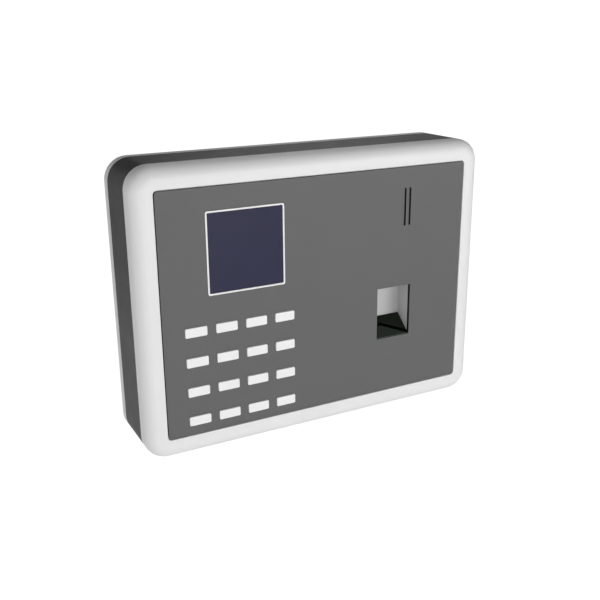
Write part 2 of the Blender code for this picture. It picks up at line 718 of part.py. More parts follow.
def sensor_housing():
    """The black box behind the well that holds the sensor's lamp and camera, and a lens on the prism."""
    x_range = (WELL_X[0] - 1.0 * MM, WELL_X[1] + 1.0 * MM)
    z_range = (WELL_Z[0] - 0.5 * MM, WELL_Z[1] - 4.0 * MM)
    housing = block("sensor_housing", x_range, SENSOR_BOX_Y, z_range, black_plastic(), bevel=0.5 * MM)
    centre = (sum(WELL_X) / 2, WELL_Z[0] + sum(EYE_Z) / 2)
    lens_y = (WELL_BACK_Y + 0.4 * MM, SENSOR_BOX_Y[0] + 0.6 * MM)
    return join(housing, round_bar("sensor_lens", centre, LENS_R, lens_y, helper=True))


def sensor_board():
    x_range = (WELL_X[0] - 2.0 * MM, WELL_X[1] + 2.0 * MM)
    outline = rect(x_range, (WELL_Z[0] - 2.0 * MM, WELL_Z[1] - 2.0 * MM), 1.0 * MM)
    return plate("sensor_board", [outline], SENSOR_BOARD_Y, circuit_board())


# ---------------------------------------------------------------- indicator lights

def light_guide():
    """One smoked moulding with a rib in each slot and two legs down to the light board."""
    x_range = (SLOT_MIDDLE_X - 3.6 * MM, SLOT_MIDDLE_X + 3.6 * MM)
    z_range = (SLOT_Z[0] - 1.4 * MM, SLOT_Z[1] + 1.4 * MM)
    rib_y = (PANEL_FRONT_Y + 0.6 * MM, GUIDE_Y[0] + 0.4 * MM)
    rib_z = (SLOT_Z[0] + 0.5 * MM, SLOT_Z[1] - 0.5 * MM)
    rib_half = SLOT_W / 2 - 0.15 * MM
    leg_x = (SLOT_MIDDLE_X - 2.0 * MM, SLOT_MIDDLE_X + 2.0 * MM)
    leg_y = (GUIDE_Y[1] - 0.8 * MM, LIGHT_BOARD_Y[0] - REST_GAP)
    smoked = material("smoked_plastic", (0.02, 0.02, 0.02), 0.3)
    guide = block("light_guide", x_range, GUIDE_Y, z_range, smoked)
    for number, x in enumerate(SLOT_X, 1):
        join(guide, block(f"light_rib_{number}", (x - rib_half, x + rib_half), rib_y, rib_z, helper=True))
    for number, z in enumerate(z_range, 1):
        join(guide, block(f"light_leg_{number}", leg_x, leg_y, (z - 1.0 * MM, z + 1.0 * MM), helper=True))
    return guide


def light_board():
    x_range = (SLOT_MIDDLE_X - 5.0 * MM, SLOT_MIDDLE_X + 5.0 * MM)
    z_range = (SLOT_Z[0] - 3.5 * MM, SLOT_Z[1] + 3.5 * MM)
    return plate("light_board", [rect(x_range, z_range, 1.0 * MM)], LIGHT_BOARD_Y, circuit_board())


def lights():
    """A green and a red light, one behind each slot."""
    colours = (("green_light", (0.05, 0.6, 0.12)), ("red_light", (0.7, 0.05, 0.04)))
    middle_z = sum(SLOT_Z) / 2
    z_range = (middle_z - 1.75 * MM, middle_z + 1.75 * MM)
    for (name, colour), x in zip(colours, SLOT_X):
        x_range = (x - 1.0 * MM, x + 1.0 * MM)
        block(name, x_range, LIGHT_Y, z_range, material(name, colour, 0.3), bevel=0.2 * MM)


# ---------------------------------------------------------------- main board and what stands on it

def main_board():
    outlines = [rect(BOARD_X, BOARD_Z, 2.0 * MM)]
    outlines += [circle(x, z, 1.5 * MM, 16) for x, z in BOARD_HOLES]
    return plate("main_board", outlines, BOARD_Y, circuit_board())


def processor():
    y_range = (BOARD_FRONT_Y - 1.4 * MM, BOARD_FRONT_Y)
    side = (-6.0 * MM, 8.0 * MM)
    block("processor", side, y_range, side, black_plastic(), bevel=0.2 * MM)


def ethernet_jack():
    """A shielded socket that opens towards the wall, with the stepped mouth that takes the plug's latch."""
    half_x, half_z = 8.0 * MM, 7.0 * MM
    x_range = (ETHERNET_X - half_x, ETHERNET_X + half_x)
    z_range = (JACK_Z - half_z, JACK_Z + half_z)
    mouth_x = (ETHERNET_X - 5.9 * MM, ETHERNET_X + 5.9 * MM)
    mouth_y = (JACK_END_Y - 11.0 * MM, JACK_END_Y + MM)
    mouth_z = (JACK_Z - 3.6 * MM, JACK_Z + 4.4 * MM)
    latch_x = (ETHERNET_X - 3.0 * MM, ETHERNET_X + 3.0 * MM)
    latch_z = (JACK_Z - 5.6 * MM, JACK_Z - 3.2 * MM)
    jack = block("ethernet_jack", x_range, (BOARD_REAR_Y, JACK_END_Y), z_range, bright_metal())
    cut(jack, cut_block("jack_mouth", mouth_x, mouth_y, mouth_z))
    return cut(jack, cut_block("jack_latch", latch_x, mouth_y, latch_z))


def power_jack():
    """A barrel socket with its centre pin."""
    x_range = (POWER_X - 4.5 * MM, POWER_X + 4.5 * MM)
    z_range = (JACK_Z - 5.5 * MM, JACK_Z + 5.5 * MM)
    jack = block("power_jack", x_range, (BOARD_REAR_Y, JACK_END_Y), z_range, black_plastic())
    cut(jack, cut_bar("barrel", (POWER_X, JACK_Z), 3.0 * MM, (JACK_END_Y - 9.5 * MM, JACK_END_Y + MM)))
    pin_y = (JACK_END_Y - 10.5 * MM, JACK_END_Y - 1.0 * MM)
    return join(jack, round_bar("barrel_pin", (POWER_X, JACK_Z), 1.05 * MM, pin_y, steps=12, helper=True))


def terminal_block():
    """A six-way block for the door lock's and the bell's wires."""
    x_range = (BLOCK_X - 11.0 * MM, BLOCK_X + 11.0 * MM)
    z_range = (JACK_Z - 4.6 * MM, JACK_Z + 4.6 * MM)
    entry_y = (JACK_END_Y - 6.0 * MM, JACK_END_Y + MM)
    entry_z = (JACK_Z - 3.6 * MM, JACK_Z - 0.6 * MM)
    screw_y = (JACK_END_Y - 1.2 * MM, JACK_END_Y + MM)
    green = material("terminal_green", (0.05, 0.36, 0.14), 0.45)
    body = block("terminal_block", x_range, (BOARD_REAR_Y, JACK_END_Y), z_range, green)
    for way in range(TERMINALS):
        x = BLOCK_X + (way - (TERMINALS - 1) / 2) * TERMINAL_PITCH
        cut(body, cut_block(f"wire_entry_{way + 1}", (x - 1.2 * MM, x + 1.2 * MM), entry_y, entry_z))
        cut(body, cut_bar(f"clamp_screw_{way + 1}", (x, JACK_Z + 2.2 * MM), 1.2 * MM, screw_y, steps=10))
    return body


def usb_port():
    """The data socket, whose mouth looks down through the middle shell. Its tongue is part of it."""
    half_x = 6.6 * MM
    sheet = 0.4 * MM
    y_range = (BOARD_FRONT_Y - 5.7 * MM, BOARD_FRONT_Y)
    z_range = (-HALF_H + 0.5 * MM, -HALF_H + 15.0 * MM)
    mouth_x = (USB_X - half_x + sheet, USB_X + half_x - sheet)
    mouth_y = (y_range[0] + sheet, y_range[1] - sheet)
    mouth_z = (z_range[0] - MM, z_range[1] - 3.0 * MM)
    tongue_x = (USB_X - 5.4 * MM, USB_X + 5.4 * MM)
    tongue_y = (y_range[0] + 1.0 * MM, y_range[0] + 2.6 * MM)
    tongue_z = (z_range[0] + 1.2 * MM, z_range[1] - 2.0 * MM)
    port = block("usb_port", (USB_X - half_x, USB_X + half_x), y_range, z_range, bright_metal())
    cut(port, cut_block("usb_mouth", mouth_x, mouth_y, mouth_z))
    return join(port, block("usb_tongue", tongue_x, tongue_y, tongue_z, helper=True))


def coin_cell():
    """The clock's backup cell in its holder, on the front of the board."""
    x, z = -38.0 * MM, 14.0 * MM
    holder_y = (BOARD_FRONT_Y - 4.6 * MM, BOARD_FRONT_Y)
    holder_x = (x - 12.5 * MM, x + 12.5 * MM)
    holder_z = (z - 11.5 * MM, z + 11.5 * MM)
    pocket_y = (holder_y[0] - MM, holder_y[1] - 1.0 * MM)
    holder = block("cell_holder", holder_x, holder_y, holder_z, black_plastic())
    cut(holder, cut_bar("cell_pocket", (x, z), 10.4 * MM, pocket_y, steps=28))
    rim, radius, thickness = 0.3 * MM, 10.0 * MM, 3.2 * MM
    profile = [
        (0.0, thickness), (radius - rim, thickness), (radius, thickness - rim), (radius, 0.0), (0.0, 0.0)
    ]
    cell = turned("backup_cell", profile, bright_metal(), steps=28)
    cell.rotation_euler = (math.pi / 2, 0.0, 0.0)
    cell.location = (x, holder_y[1] - 1.2 * MM, z)


# ---------------------------------------------------------------- speaker

def speaker():
    """A round speaker that faces down onto the slots: a dished basket and the cone in it."""
    rim = SPEAKER_R
    basket_profile = [
        (0.0, 6.4 * MM), (4.2 * MM, 6.4 * MM), (4.2 * MM, 4.6 * MM), (6.8 * MM, 2.0 * MM), (rim, 2.0 * MM),
        (rim, 0.0), (6.4 * MM, 0.0), (6.1 * MM, 1.6 * MM), (3.5 * MM, 3.7 * MM), (0.0, 3.7 * MM),
    ]
    cone_profile = [
        (0.0, 3.0 * MM), (2.8 * MM, 3.0 * MM), (5.4 * MM, 0.9 * MM), (6.0 * MM, 0.8 * MM),
        (6.0 * MM, 0.4 * MM), (5.3 * MM, 0.4 * MM), (2.5 * MM, 2.4 * MM), (0.0, 1.8 * MM),
    ]
    paper = material("speaker_paper", (0.05, 0.05, 0.055), 0.8)
    basket = turned("speaker_basket", basket_profile, black_plastic(), steps=24)
    cone = turned("speaker_cone", cone_profile, paper, steps=24)
    for piece in (basket, cone):
        piece.location = (SPEAKER_X, SPEAKER_Y, SPEAKER_Z)


# ---------------------------------------------------------------- switches that move

def tamper_switch():
    """The plunger reaches through the rear cover and the plate to the wall, and is pressed in at rest."""
    half = 3.2 * MM
    end_y = -11.6 * MM
    x_range = (TAMPER_X - half, TAMPER_X + half)
    z_range = (TAMPER_Z - half, TAMPER_Z + half)
    body = block("tamper_switch", x_range, (BOARD_REAR_Y, end_y), z_range, black_plastic())
    cut(body, cut_bar("tamper_bore", (TAMPER_X, TAMPER_Z), 1.8 * MM, (end_y - 5.6 * MM, end_y + MM)))
    length = 15.6 * MM
    profile = [
        (0.0, length), (1.1 * MM, length), (1.5 * MM, length - 0.4 * MM), (1.5 * MM, 7.4 * MM),
        (2.7 * MM, 7.4 * MM), (2.7 * MM, 6.4 * MM), (1.5 * MM, 6.4 * MM), (1.5 * MM, 0.0), (0.0, 0.0),
    ]
    plunger = turned("tamper_plunger", profile, material("plunger_white", (0.75, 0.75, 0.72), 0.4), steps=16)
    plunger.rotation_euler = (-math.pi / 2, 0.0, 0.0)
    plunger.location = (TAMPER_X, -0.2 * MM - length, TAMPER_Z)


def reset_switch():
    """A small push switch, reached with a pin through the rear cover."""
    half = 3.0 * MM
    end_y = BOARD_REAR_Y + 3.4 * MM
    x_range = (RESET_X - half, RESET_X + half)
    z_range = (RESET_Z - half, RESET_Z + half)
    body = block("reset_switch", x_range, (BOARD_REAR_Y, end_y), z_range, bright_metal())
    cut(body, cut_bar("reset_bore", (RESET_X, RESET_Z), 1.9 * MM, (end_y - 1.6 * MM, end_y + MM), steps=16))
    profile = [(0.0, 2.2 * MM), (1.4 * MM, 2.2 * MM), (1.6 * MM, 2.0 * MM), (1.6 * MM, 0.0), (0.0, 0.0)]
    button = turned("reset_button", profile, black_plastic(), steps=16)
    button.rotation_euler = (-math.pi / 2, 0.0, 0.0)
    button.location = (RESET_X, end_y - 1.1 * MM, RESET_Z)


# ---------------------------------------------------------------- ribbons

def ribbon(name, path, x_middle, width):
    """A flat cable: a smooth path of (y, z) points, as wide as given along X."""
    thickness = 0.3 * MM
    curve = bpy.data.curves.new(name, "CURVE")
    curve.dimensions = "2D"
    curve.fill_mode = "NONE"
    curve.extrude = width / 2
    spline = curve.splines.new("POLY")
    points = smooth_path(path)
    spline.points.add(len(points) - 1)
    for point, (y, z) in zip(spline.points, points):
        point.co = (y, z, 0.0, 1.0)
    obj = add_object(name, curve, material("ribbon", (0.80, 0.82, 0.85), 0.4))
    # The path's plane turns from local XY to world YZ, and the width lies along world X.
    obj.matrix_world = Matrix(((0, 0, 1, x_middle), (1, 0, 0, 0), (0, 1, 0, 0), (0, 0, 0, 1)))
    sheet = obj.modifiers.new("sheet", "SOLIDIFY")
    sheet.thickness = thickness
    sheet.offset = 0.0
    return obj


def spline_value(t, p, q, r, s):
    """The Catmull-Rom spline through p, q, r and s at t, which runs from q to r."""
    square = 2 * p - 5 * q + 4 * r - s
    cube = 3 * q - p - 3 * r + s
    return 0.5 * (2 * q + (r - p) * t + square * t ** 2 + cube * t ** 3)


def smooth_path(points, steps=5):
    """The points joined by a smooth curve."""
    padded = [points[0], *points, points[-1]]
    made = []
    for a, b, c, d in zip(padded, padded[1:], padded[2:], padded[3:]):
        for step in range(steps):
            t = step / steps
            made.append(tuple(spline_value(t, *four) for four in zip(a, b, c, d)))
    made.append(points[-1])
    return made


def ribbons():
    """Flat cables from the keypad, the display and the sensor to the main board's front."""
    near_board = BOARD_FRONT_Y - 0.4 * MM
    keypad_path = [
        (KEY_BOARD_Y[1] + 0.5 * MM, -24.0 * MM), (-27.5 * MM, -18.0 * MM), (-25.0 * MM, -14.0 * MM),
        (near_board, -19.0 * MM), (near_board, -26.0 * MM),
    ]
    display_path = [
        (LCD_BOARD_Y[1] + 0.5 * MM, 20.0 * MM), (-28.4 * MM, 12.0 * MM), (-24.4 * MM, 8.0 * MM),
        (near_board, 2.0 * MM), (near_board, -4.0 * MM),
    ]
    sensor_path = [
        (SENSOR_BOARD_Y[0] - 0.5 * MM, -1.0 * MM), (-22.8 * MM, 2.0 * MM), (-22.0 * MM, 6.0 * MM),
        (near_board, 10.0 * MM), (near_board, 15.0 * MM),
    ]
    ribbon("keypad_ribbon", keypad_path, -46.0 * MM, 12.0 * MM)
    ribbon("display_ribbon", display_path, -18.0 * MM, 12.0 * MM)
    ribbon("sensor_ribbon", sensor_path, 40.0 * MM, 8.0 * MM)


# ---------------------------------------------------------------- fasteners and the wall plate

def screw_profile(head_r, head_h, shank_r, length):
    """A pan-head screw about local Z: its head's top, with a dimple for the driver, is at z = 0."""
    chamfer = 0.35 * head_h
    return [
        (0.0, -0.55 * head_h), (0.30 * head_r, -0.55 * head_h), (0.48 * head_r, 0.0),
        (head_r - chamfer, 0.0), (head_r, -chamfer), (head_r, -head_h), (shank_r, -head_h),
        (shank_r, -head_h - length + shank_r), (0.4 * shank_r, -head_h - length), (0.0, -head_h - length),
    ]


def case_screws():
    """Four long screws from the rear, through the rear cover and the middle shell into the bezel."""
    head_h = 2.0 * MM
    seat_y = FLOOR_OUT_Y + REST_GAP
    length = 29.0 * MM
    profile = screw_profile(2.7 * MM, head_h, 1.45 * MM, length)
    for name, (x, z) in zip(CORNER_NAMES, CORNERS):
        screw = turned(f"case_screw_{name}", profile, bright_metal())
        screw.rotation_euler = (-math.pi / 2, 0.0, 0.0)
        screw.location = (x, seat_y + head_h, z)


def board_screws():
    """Four short screws from the front, through the main board into the rear cover's standoffs."""
    head_h = 1.4 * MM
    profile = screw_profile(2.3 * MM, head_h, 1.15 * MM, 7.0 * MM)
    for number, (x, z) in enumerate(BOARD_HOLES, 1):
        screw = turned(f"board_screw_{number}", profile, bright_metal(), steps=16)
        screw.rotation_euler = (math.pi / 2, 0.0, 0.0)
        screw.location = (x, BOARD_FRONT_Y - head_h, z)


def lock_screw():
    """The security screw, from below through the rear cover's rim into the plate's lip."""
    profile = screw_profile(1.75 * MM, 0.9 * MM, 0.95 * MM, 4.2 * MM)
    screw = turned("lock_screw", profile, bright_metal(), steps=16)
    screw.rotation_euler = (math.pi, 0.0, 0.0)
    screw.location = (0.0, LOCK_Y, -HALF_H + 0.15 * MM)


def wall_plate():
    """The pressed-steel plate, flat on the wall, with four hooks, screw holes, a cable window and a lip."""
    half_w, half_h, half_t = PLATE_W / 2, PLATE_H / 2, TONGUE_W / 2
    radius = 4.0 * MM
    edge = rounded_rect(0.0, 0.0, PLATE_W, PLATE_H, radius, 4)
    quarter = len(edge) // 4
    # The third and fourth corners are the lower ones: the tongue runs down between them.
    outline = edge[:3 * quarter]
    outline += [(-half_t, -half_h), (-half_t, TONGUE_END_Z), (half_t, TONGUE_END_Z), (half_t, -half_h)]
    outline += edge[3 * quarter:]
    outlines = [outline, rect(CABLE_X, CABLE_Z, 3.0 * MM)]
    outlines += [circle(x, z, WALL_HOLE_R, 20) for x, z in WALL_HOLES]
    outlines += [circle(TAMPER_X, TAMPER_Z, 2.2 * MM, 20)]
    body = as_mesh(plate("wall_plate", outlines, (-PLATE_T, 0.0), plate_steel()))
    hook_end_y = FLOOR_IN_Y - 0.3 * MM - PLATE_T
    tab_y = (hook_end_y, -PLATE_T / 2)
    end_y = (hook_end_y, hook_end_y + PLATE_T)
    for number, (x, z) in enumerate(HOOKS, 1):
        tab_x = (x - HOOK_W / 2, x + HOOK_W / 2)
        end_z = (z - PLATE_T / 2, z + 2.8 * MM)
        join(body, block(f"hook_tab_{number}", tab_x, tab_y, (z - PLATE_T, z), helper=True))
        join(body, block(f"hook_end_{number}", tab_x, end_y, end_z, helper=True))
    lip_y = (FLOOR_OUT_Y + 0.3 * MM, -PLATE_T / 2)
    lip_z = (TONGUE_END_Z, TONGUE_END_Z + PLATE_T)
    join(body, block("plate_lip", (-half_t, half_t), lip_y, lip_z, helper=True))
    return cut(body, lock_tool("lip_hole", 1.25 * MM, (TONGUE_END_Z - MM, TONGUE_END_Z + PLATE_T + MM)))


def build():
    clear_scene()
    make_collections()
    front_bezel()
    mid_shell()
    rear_cover()
    face_panel()
    display_trim()
    display_window()
    lcd_module()
    keys()
    key_mat()
    keypad_board()
    finger_well()
    sensor_prism()
    sensor_housing()
    sensor_board()
    light_guide()
    light_board()
    lights()
    main_board()
    processor()
    ethernet_jack()
    power_jack()
    terminal_block()
    usb_port()
    coin_cell()
    speaker()
    tamper_switch()
    reset_switch()
    ribbons()
    case_screws()
    board_screws()
    lock_screw()
    wall_plate()


build()
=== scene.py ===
"""Looks for the wall-mounted fingerprint time clock: camera, studio, materials and finer pieces.

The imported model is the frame: metres, +Z up, the front faces -Y and the wall is the plane Y = 0.
A name that ends in _mm is in millimetres. Every other length is in metres.
"""
import json
import math

import bmesh
import bpy
from mathutils import Matrix, Vector


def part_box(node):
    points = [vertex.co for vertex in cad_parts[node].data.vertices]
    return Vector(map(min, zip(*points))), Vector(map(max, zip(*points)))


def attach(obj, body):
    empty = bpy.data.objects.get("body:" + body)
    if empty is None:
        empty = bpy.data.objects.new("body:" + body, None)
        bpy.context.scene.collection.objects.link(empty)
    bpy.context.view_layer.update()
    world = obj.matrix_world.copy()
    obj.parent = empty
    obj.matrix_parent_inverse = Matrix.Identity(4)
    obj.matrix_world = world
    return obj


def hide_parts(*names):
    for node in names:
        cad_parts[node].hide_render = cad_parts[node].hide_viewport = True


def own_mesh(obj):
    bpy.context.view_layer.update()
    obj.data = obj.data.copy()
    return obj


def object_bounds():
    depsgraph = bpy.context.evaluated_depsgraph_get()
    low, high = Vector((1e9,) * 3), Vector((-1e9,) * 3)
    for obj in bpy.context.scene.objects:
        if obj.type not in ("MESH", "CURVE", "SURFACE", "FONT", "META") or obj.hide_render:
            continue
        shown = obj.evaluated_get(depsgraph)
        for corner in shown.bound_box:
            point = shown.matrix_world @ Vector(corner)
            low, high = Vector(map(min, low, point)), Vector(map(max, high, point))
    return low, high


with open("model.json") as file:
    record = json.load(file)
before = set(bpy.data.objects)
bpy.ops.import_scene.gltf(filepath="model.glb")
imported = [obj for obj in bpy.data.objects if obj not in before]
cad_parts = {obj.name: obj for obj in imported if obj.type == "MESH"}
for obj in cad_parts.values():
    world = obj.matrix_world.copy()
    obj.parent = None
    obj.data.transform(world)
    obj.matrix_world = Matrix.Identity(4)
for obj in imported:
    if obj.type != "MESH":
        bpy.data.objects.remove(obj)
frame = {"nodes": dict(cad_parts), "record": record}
cad_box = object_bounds()

MM = 0.001
CLOCK = "clock"
BODY_OF = {
    node: body
    for body, members in frame["record"]["behaviour"]["bodies"].items()
    for node in members
}
KEYS = [f"key_row{row}_col{column}" for row in range(1, 5) for column in range(1, 5)]
CORNERS = ("lower_left", "upper_left", "lower_right", "upper_right")
CASE_SCREWS = [f"case_screw_{corner}" for corner in CORNERS]
BOARD_SCREWS = [f"board_screw_{number}" for number in range(1, 5)]

# Finer copies of the CAD nodes.
MERGE_DISTANCE = 0.002 * MM
FLAT_ANGLE = 1.0                 # faces that meet within this many degrees become one
BEVEL_ANGLE = 40.0               # edges sharper than this are rounded
SMOOTH_ANGLE = 40.0              # an unrounded piece is shaded smooth up to here
ROUNDED_SMOOTH_ANGLE = 60.0      # and a rounded one up to here

# The keypad's silicone mat.
MAT_SHEET_T = 0.81 * MM          # its 0.8 mm sheet, and a little so that the cut clears its front
DOME_REACH = 6.0 * MM            # no other dome comes this close to a key's middle

# Display and sensor.
LCD_SHELL_DEPTH = 4.5 * MM       # behind this the module is its circuit board
WELL_SHADE_EDGE = 0.3 * MM       # how much of the finger well's front edge is painted near-black, as painted shade in its joint with the panel
LENS_DEPTH = 0.1 * MM            # how thick the layer is that holds the lens's front face

# Network socket.
JACK_MOUTH_DEPTH = 11.0 * MM
JACK_PAST_MOUTH = 0.2 * MM       # the black reaches this far past it, to take in its end wall
JACK_SHIELD = Vector((1.5 * MM, 0.0, 1.0 * MM))    # from the outside to the black insert
JACK_RIM = 0.3 * MM              # bright edge in front of the insert
CONTACTS = 8
CONTACT_PITCH = 1.02 * MM
CONTACT_W = 0.4 * MM
CONTACT_T = 0.3 * MM
CONTACT_INSET = 0.8 * MM         # from the socket's face to the contacts
CONTACT_FLAT = 1.5 * MM
CONTACT_REACH = 9.5 * MM
CONTACT_DROP = 3.0 * MM
CONTACT_RISE = 4.3 * MM          # above the socket's middle

# Power socket.
PIN_HALF = Vector((1.1 * MM, 0.0, 1.1 * MM))       # half the box around the centre pin
PIN_FROM = 0.5 * MM              # depths behind the socket's face
PIN_TO = 9.4 * MM
SPRING_W = 1.4 * MM
SPRING_T = 0.2 * MM
SPRING_RISE = 2.8 * MM           # above the pin
SPRING_BOW = 0.5 * MM
SPRING_DEPTHS = (1.0 * MM, 4.5 * MM, 9.0 * MM)

# Wire terminals.
TERMINALS = 6
TERMINAL_PITCH = 3.5 * MM
CLAMP_R = 1.0 * MM
CLAMP_FACE_R = 0.85 * MM         # inside the bevel round its face
CLAMP_EDGE = 0.5 * MM            # height of the straight part of a clamp screw's head
CLAMP_H = 0.65 * MM
CLAMP_INSET = 1.15 * MM          # from the block's face to the foot of the heads
CLAMP_RISE = 2.2 * MM            # above the block's middle
CLAMP_SLOT_L = 1.9 * MM
CLAMP_SLOT_W = 0.3 * MM
CLAMP_SLOT_FLOOR = 0.35 * MM     # above the head's foot, as is the top
CLAMP_SLOT_TOP = 1.0 * MM

# Data socket. Places along Y are from its front, and along Z from its lower side.
TONGUE_SIDE = 1.1 * MM
TONGUE_Y = (0.9 * MM, 2.7 * MM)
TONGUE_Z = (1.0 * MM, 2.9 * MM)  # the second is from the socket's upper side
USB_CONTACTS = 4
USB_CONTACT_PITCH = 2.3 * MM
USB_CONTACT_W = 1.0 * MM
USB_CONTACT_Y = (2.6 * MM, 2.68 * MM)
USB_CONTACT_Z = (2.2 * MM, 9.5 * MM)

# Parts on the main board.
LEGS_PER_SIDE = 16
LEG_PITCH = 0.8 * MM
LEG_REACH = 1.1 * MM
LEG_W = 0.36 * MM
LEG_Y = (0.25 * MM, 0.08 * MM)   # a leg's front and back, measured forwards from the board
SOLDER_GAP = 0.06 * MM
CERAMIC_ROWS_Z = (-14.0 * MM, -18.5 * MM, -34.0 * MM, -38.5 * MM)
CERAMIC_PER_ROW = 7
CERAMIC_FIRST_X = -22.0 * MM
CERAMIC_PITCH = 6.0 * MM
CERAMIC_STAGGER = 1.5 * MM       # of every other row
CERAMIC_H = 1.4 * MM
CERAMIC_L = 1.8 * MM             # without its tinned ends
CERAMIC_END = 0.6 * MM
CERAMIC_T = 0.9 * MM             # how far it stands in front of the board
RIBBON_SOCKET_SIDE = 1.5 * MM    # past the ribbon on each side
RIBBON_SOCKET_T = 1.6 * MM
RIBBON_SOCKET_Z = (-3.2 * MM, -0.2 * MM)           # from the ribbon's lower end

# Screws.
THREAD_PITCH = 0.9 * MM
THREAD_DEPTH = 0.16              # of the shank's radius
HEAD_FLAT = 0.72                 # of the head's radius
HEAD_ROUND = 0.55                # of the head's height
CROSS_REACH = (0.62, 0.34)       # of the head's radius, at its top and at its bottom
CROSS_HALF_W = 0.11              # of the head's radius
CROSS_DEPTH = 0.75               # of the head's height
CROSS_CLEAR = 0.2 * MM           # the tool starts this far above the head

# Studio. The lamps look at a point in the middle of the clock.
BACKDROP_WHITE = 1.05            # what the camera sees behind the clock
AMBIENT = 0.077
FLOOR_GLOW = 0.160
FLOOR_DROP = 0.25                # how far the floor lies below the clock
LAMP_SIZE = 0.6
LAMP_DISTANCE = 1.1
LAMP_TARGET = Vector((0.0, -0.02, 0.0))
FLOOR_HALF_SIDE = 3.0
LAMPS = (                        # name, azimuth, elevation, power in watts
    ("side_left", -90, -10, 1.63),
    ("low_left", -40, -10, 1.58),
    ("low_front", -15, -10, 1.26),
    ("low_right", 10, -10, 2.16),
    ("left", -65, 10, 1.16),
    ("key", 35, 10, 4.42),
    ("upper_left", -65, 35, 0.43),
    ("upper_right", 35, 35, 0.62),
    ("rim_left", -150, 10, 0.26),
    ("rim_right", 150, 35, 0.89),
    ("window", 58, 58, 0.33),
)
BACK_LAMP = ("behind", 180, 15, 2.5)     # lights the back without a glint along the case's edges

# Camera.
LENS_MM = 50.0
SENSOR_MM = 36.0
CAMERA_PLACE = Vector((-0.1830, -0.3660, 0.1213))
CAMERA_FORWARD = Vector((0.439, 0.842, -0.3136))
CAMERA_RIGHT = Vector((0.8854, -0.4647, -0.0083))

# Colours, as linear reflectances.
CASE_LIGHT = (0.80, 0.80, 0.80)
CASE_DARK = (0.050, 0.050, 0.051)
SHEET_GREY = (0.120, 0.120, 0.120)
# painted shade: near-black for the sheet's cut edges, for the shadow in the gaps beside them
SHEET_EDGE_SHADE = (0.004, 0.004, 0.004)
KEY_WHITE = (0.87, 0.87, 0.87)
WELL_GREY = (0.53, 0.53, 0.53)
DISPLAY_BLUE = (0.024, 0.025, 0.059)
SENSOR_GREEN = (0.0008, 0.0020, 0.0008)
BLACK = (0.018, 0.018, 0.018)
ZINC = (0.72, 0.72, 0.73)
GOLD = (0.83, 0.62, 0.28)
TIN = (0.66, 0.66, 0.65)
MASK_GREEN = (0.012, 0.110, 0.045)


# ---------------------------------------------------------------- material nodes

def new_material(name, colour, roughness, metallic=0.0):
    made = bpy.data.materials.new(name)
    made.use_nodes = True
    shader = shader_of(made)
    shader.inputs["Base Color"].default_value = (*colour, 1.0)
    shader.inputs["Roughness"].default_value = roughness
    shader.inputs["Metallic"].default_value = metallic
    return made


def shader_of(look):
    return look.node_tree.nodes["Principled BSDF"]


def add_node(look, kind, **settings):
    node = look.node_tree.nodes.new(kind)
    for key, value in settings.items():
        setattr(node, key, value)
    return node


def link(look, source, target):
    look.node_tree.links.new(source, target)


def object_space(look, stretch=(1.0, 1.0, 1.0)):
    """Coordinates that stay with the piece, stretched along its axes."""
    place = add_node(look, "ShaderNodeTexCoord")
    mapping = add_node(look, "ShaderNodeMapping")
    mapping.inputs["Scale"].default_value = stretch
    link(look, place.outputs["Object"], mapping.inputs["Vector"])
    return mapping.outputs["Vector"]


def noise(look, size_mm, detail=2.0, roughness=0.5, stretch=(1.0, 1.0, 1.0)):
    """A noise pattern whose grains are about size_mm across."""
    pattern = add_node(look, "ShaderNodeTexNoise")
    pattern.inputs["Scale"].default_value = 1.0 / (size_mm * MM)
    pattern.inputs["Detail"].default_value = detail
    pattern.inputs["Roughness"].default_value = roughness
    link(look, object_space(look, stretch), pattern.inputs["Vector"])
    return pattern.outputs["Fac"]


def cells(look, size_mm, output="Distance"):
    """Cells about size_mm across: how far a point is from its cell's centre, or the cell's own colour."""
    pattern = add_node(look, "ShaderNodeTexVoronoi")
    pattern.inputs["Scale"].default_value = 1.0 / (size_mm * MM)
    link(look, object_space(look), pattern.inputs["Vector"])
    return pattern.outputs[output]


def stripes(look, pitch_mm, direction, wobble=0.0):
    """Straight bands of the given pitch, across the axis named in direction."""
    pattern = add_node(look, "ShaderNodeTexWave", wave_type="BANDS", bands_direction=direction)
    # A wave texture repeats 20 / (2 pi) times in one unit at scale 1.
    pattern.inputs["Scale"].default_value = 2.0 * math.pi / 20.0 / (pitch_mm * MM)
    pattern.inputs["Distortion"].default_value = wobble
    link(look, object_space(look), pattern.inputs["Vector"])
    return pattern.outputs["Fac"]


def remap(look, value, low, high, from_low=0.3, from_high=0.7):
    ranged = add_node(look, "ShaderNodeMapRange")
    ranged.inputs["From Min"].default_value = from_low
    ranged.inputs["From Max"].default_value = from_high
    ranged.inputs["To Min"].default_value = low
    ranged.inputs["To Max"].default_value = high
    link(look, value, ranged.inputs["Value"])
    return ranged.outputs["Result"]


def product(look, first, second):
    times = add_node(look, "ShaderNodeMath", operation="MULTIPLY")
    link(look, first, times.inputs[0])
    link(look, second, times.inputs[1])
    return times.outputs[0]


def mixed(look, factor, first, second):
    """A colour between two colours. Either may be a socket or three numbers."""
    mix = add_node(look, "ShaderNodeMix", data_type="RGBA")
    link(look, factor, mix.inputs["Factor"])
    for value, socket in ((first, mix.inputs[6]), (second, mix.inputs[7])):
        if isinstance(value, bpy.types.NodeSocket):
            link(look, value, socket)
        else:
            socket.default_value = (*value, 1.0)
    return mix.outputs[2]


def bump(look, height, depth_mm):
    """Relief from a height pattern. depth_mm is how deep it is."""
    relief = add_node(look, "ShaderNodeBump")
    relief.inputs["Distance"].default_value = depth_mm * MM
    link(look, height, relief.inputs["Height"])
    link(look, relief.outputs["Normal"], shader_of(look).inputs["Normal"])


def shade(colour, factor):
    return tuple(min(1.0, channel * factor) for channel in colour)


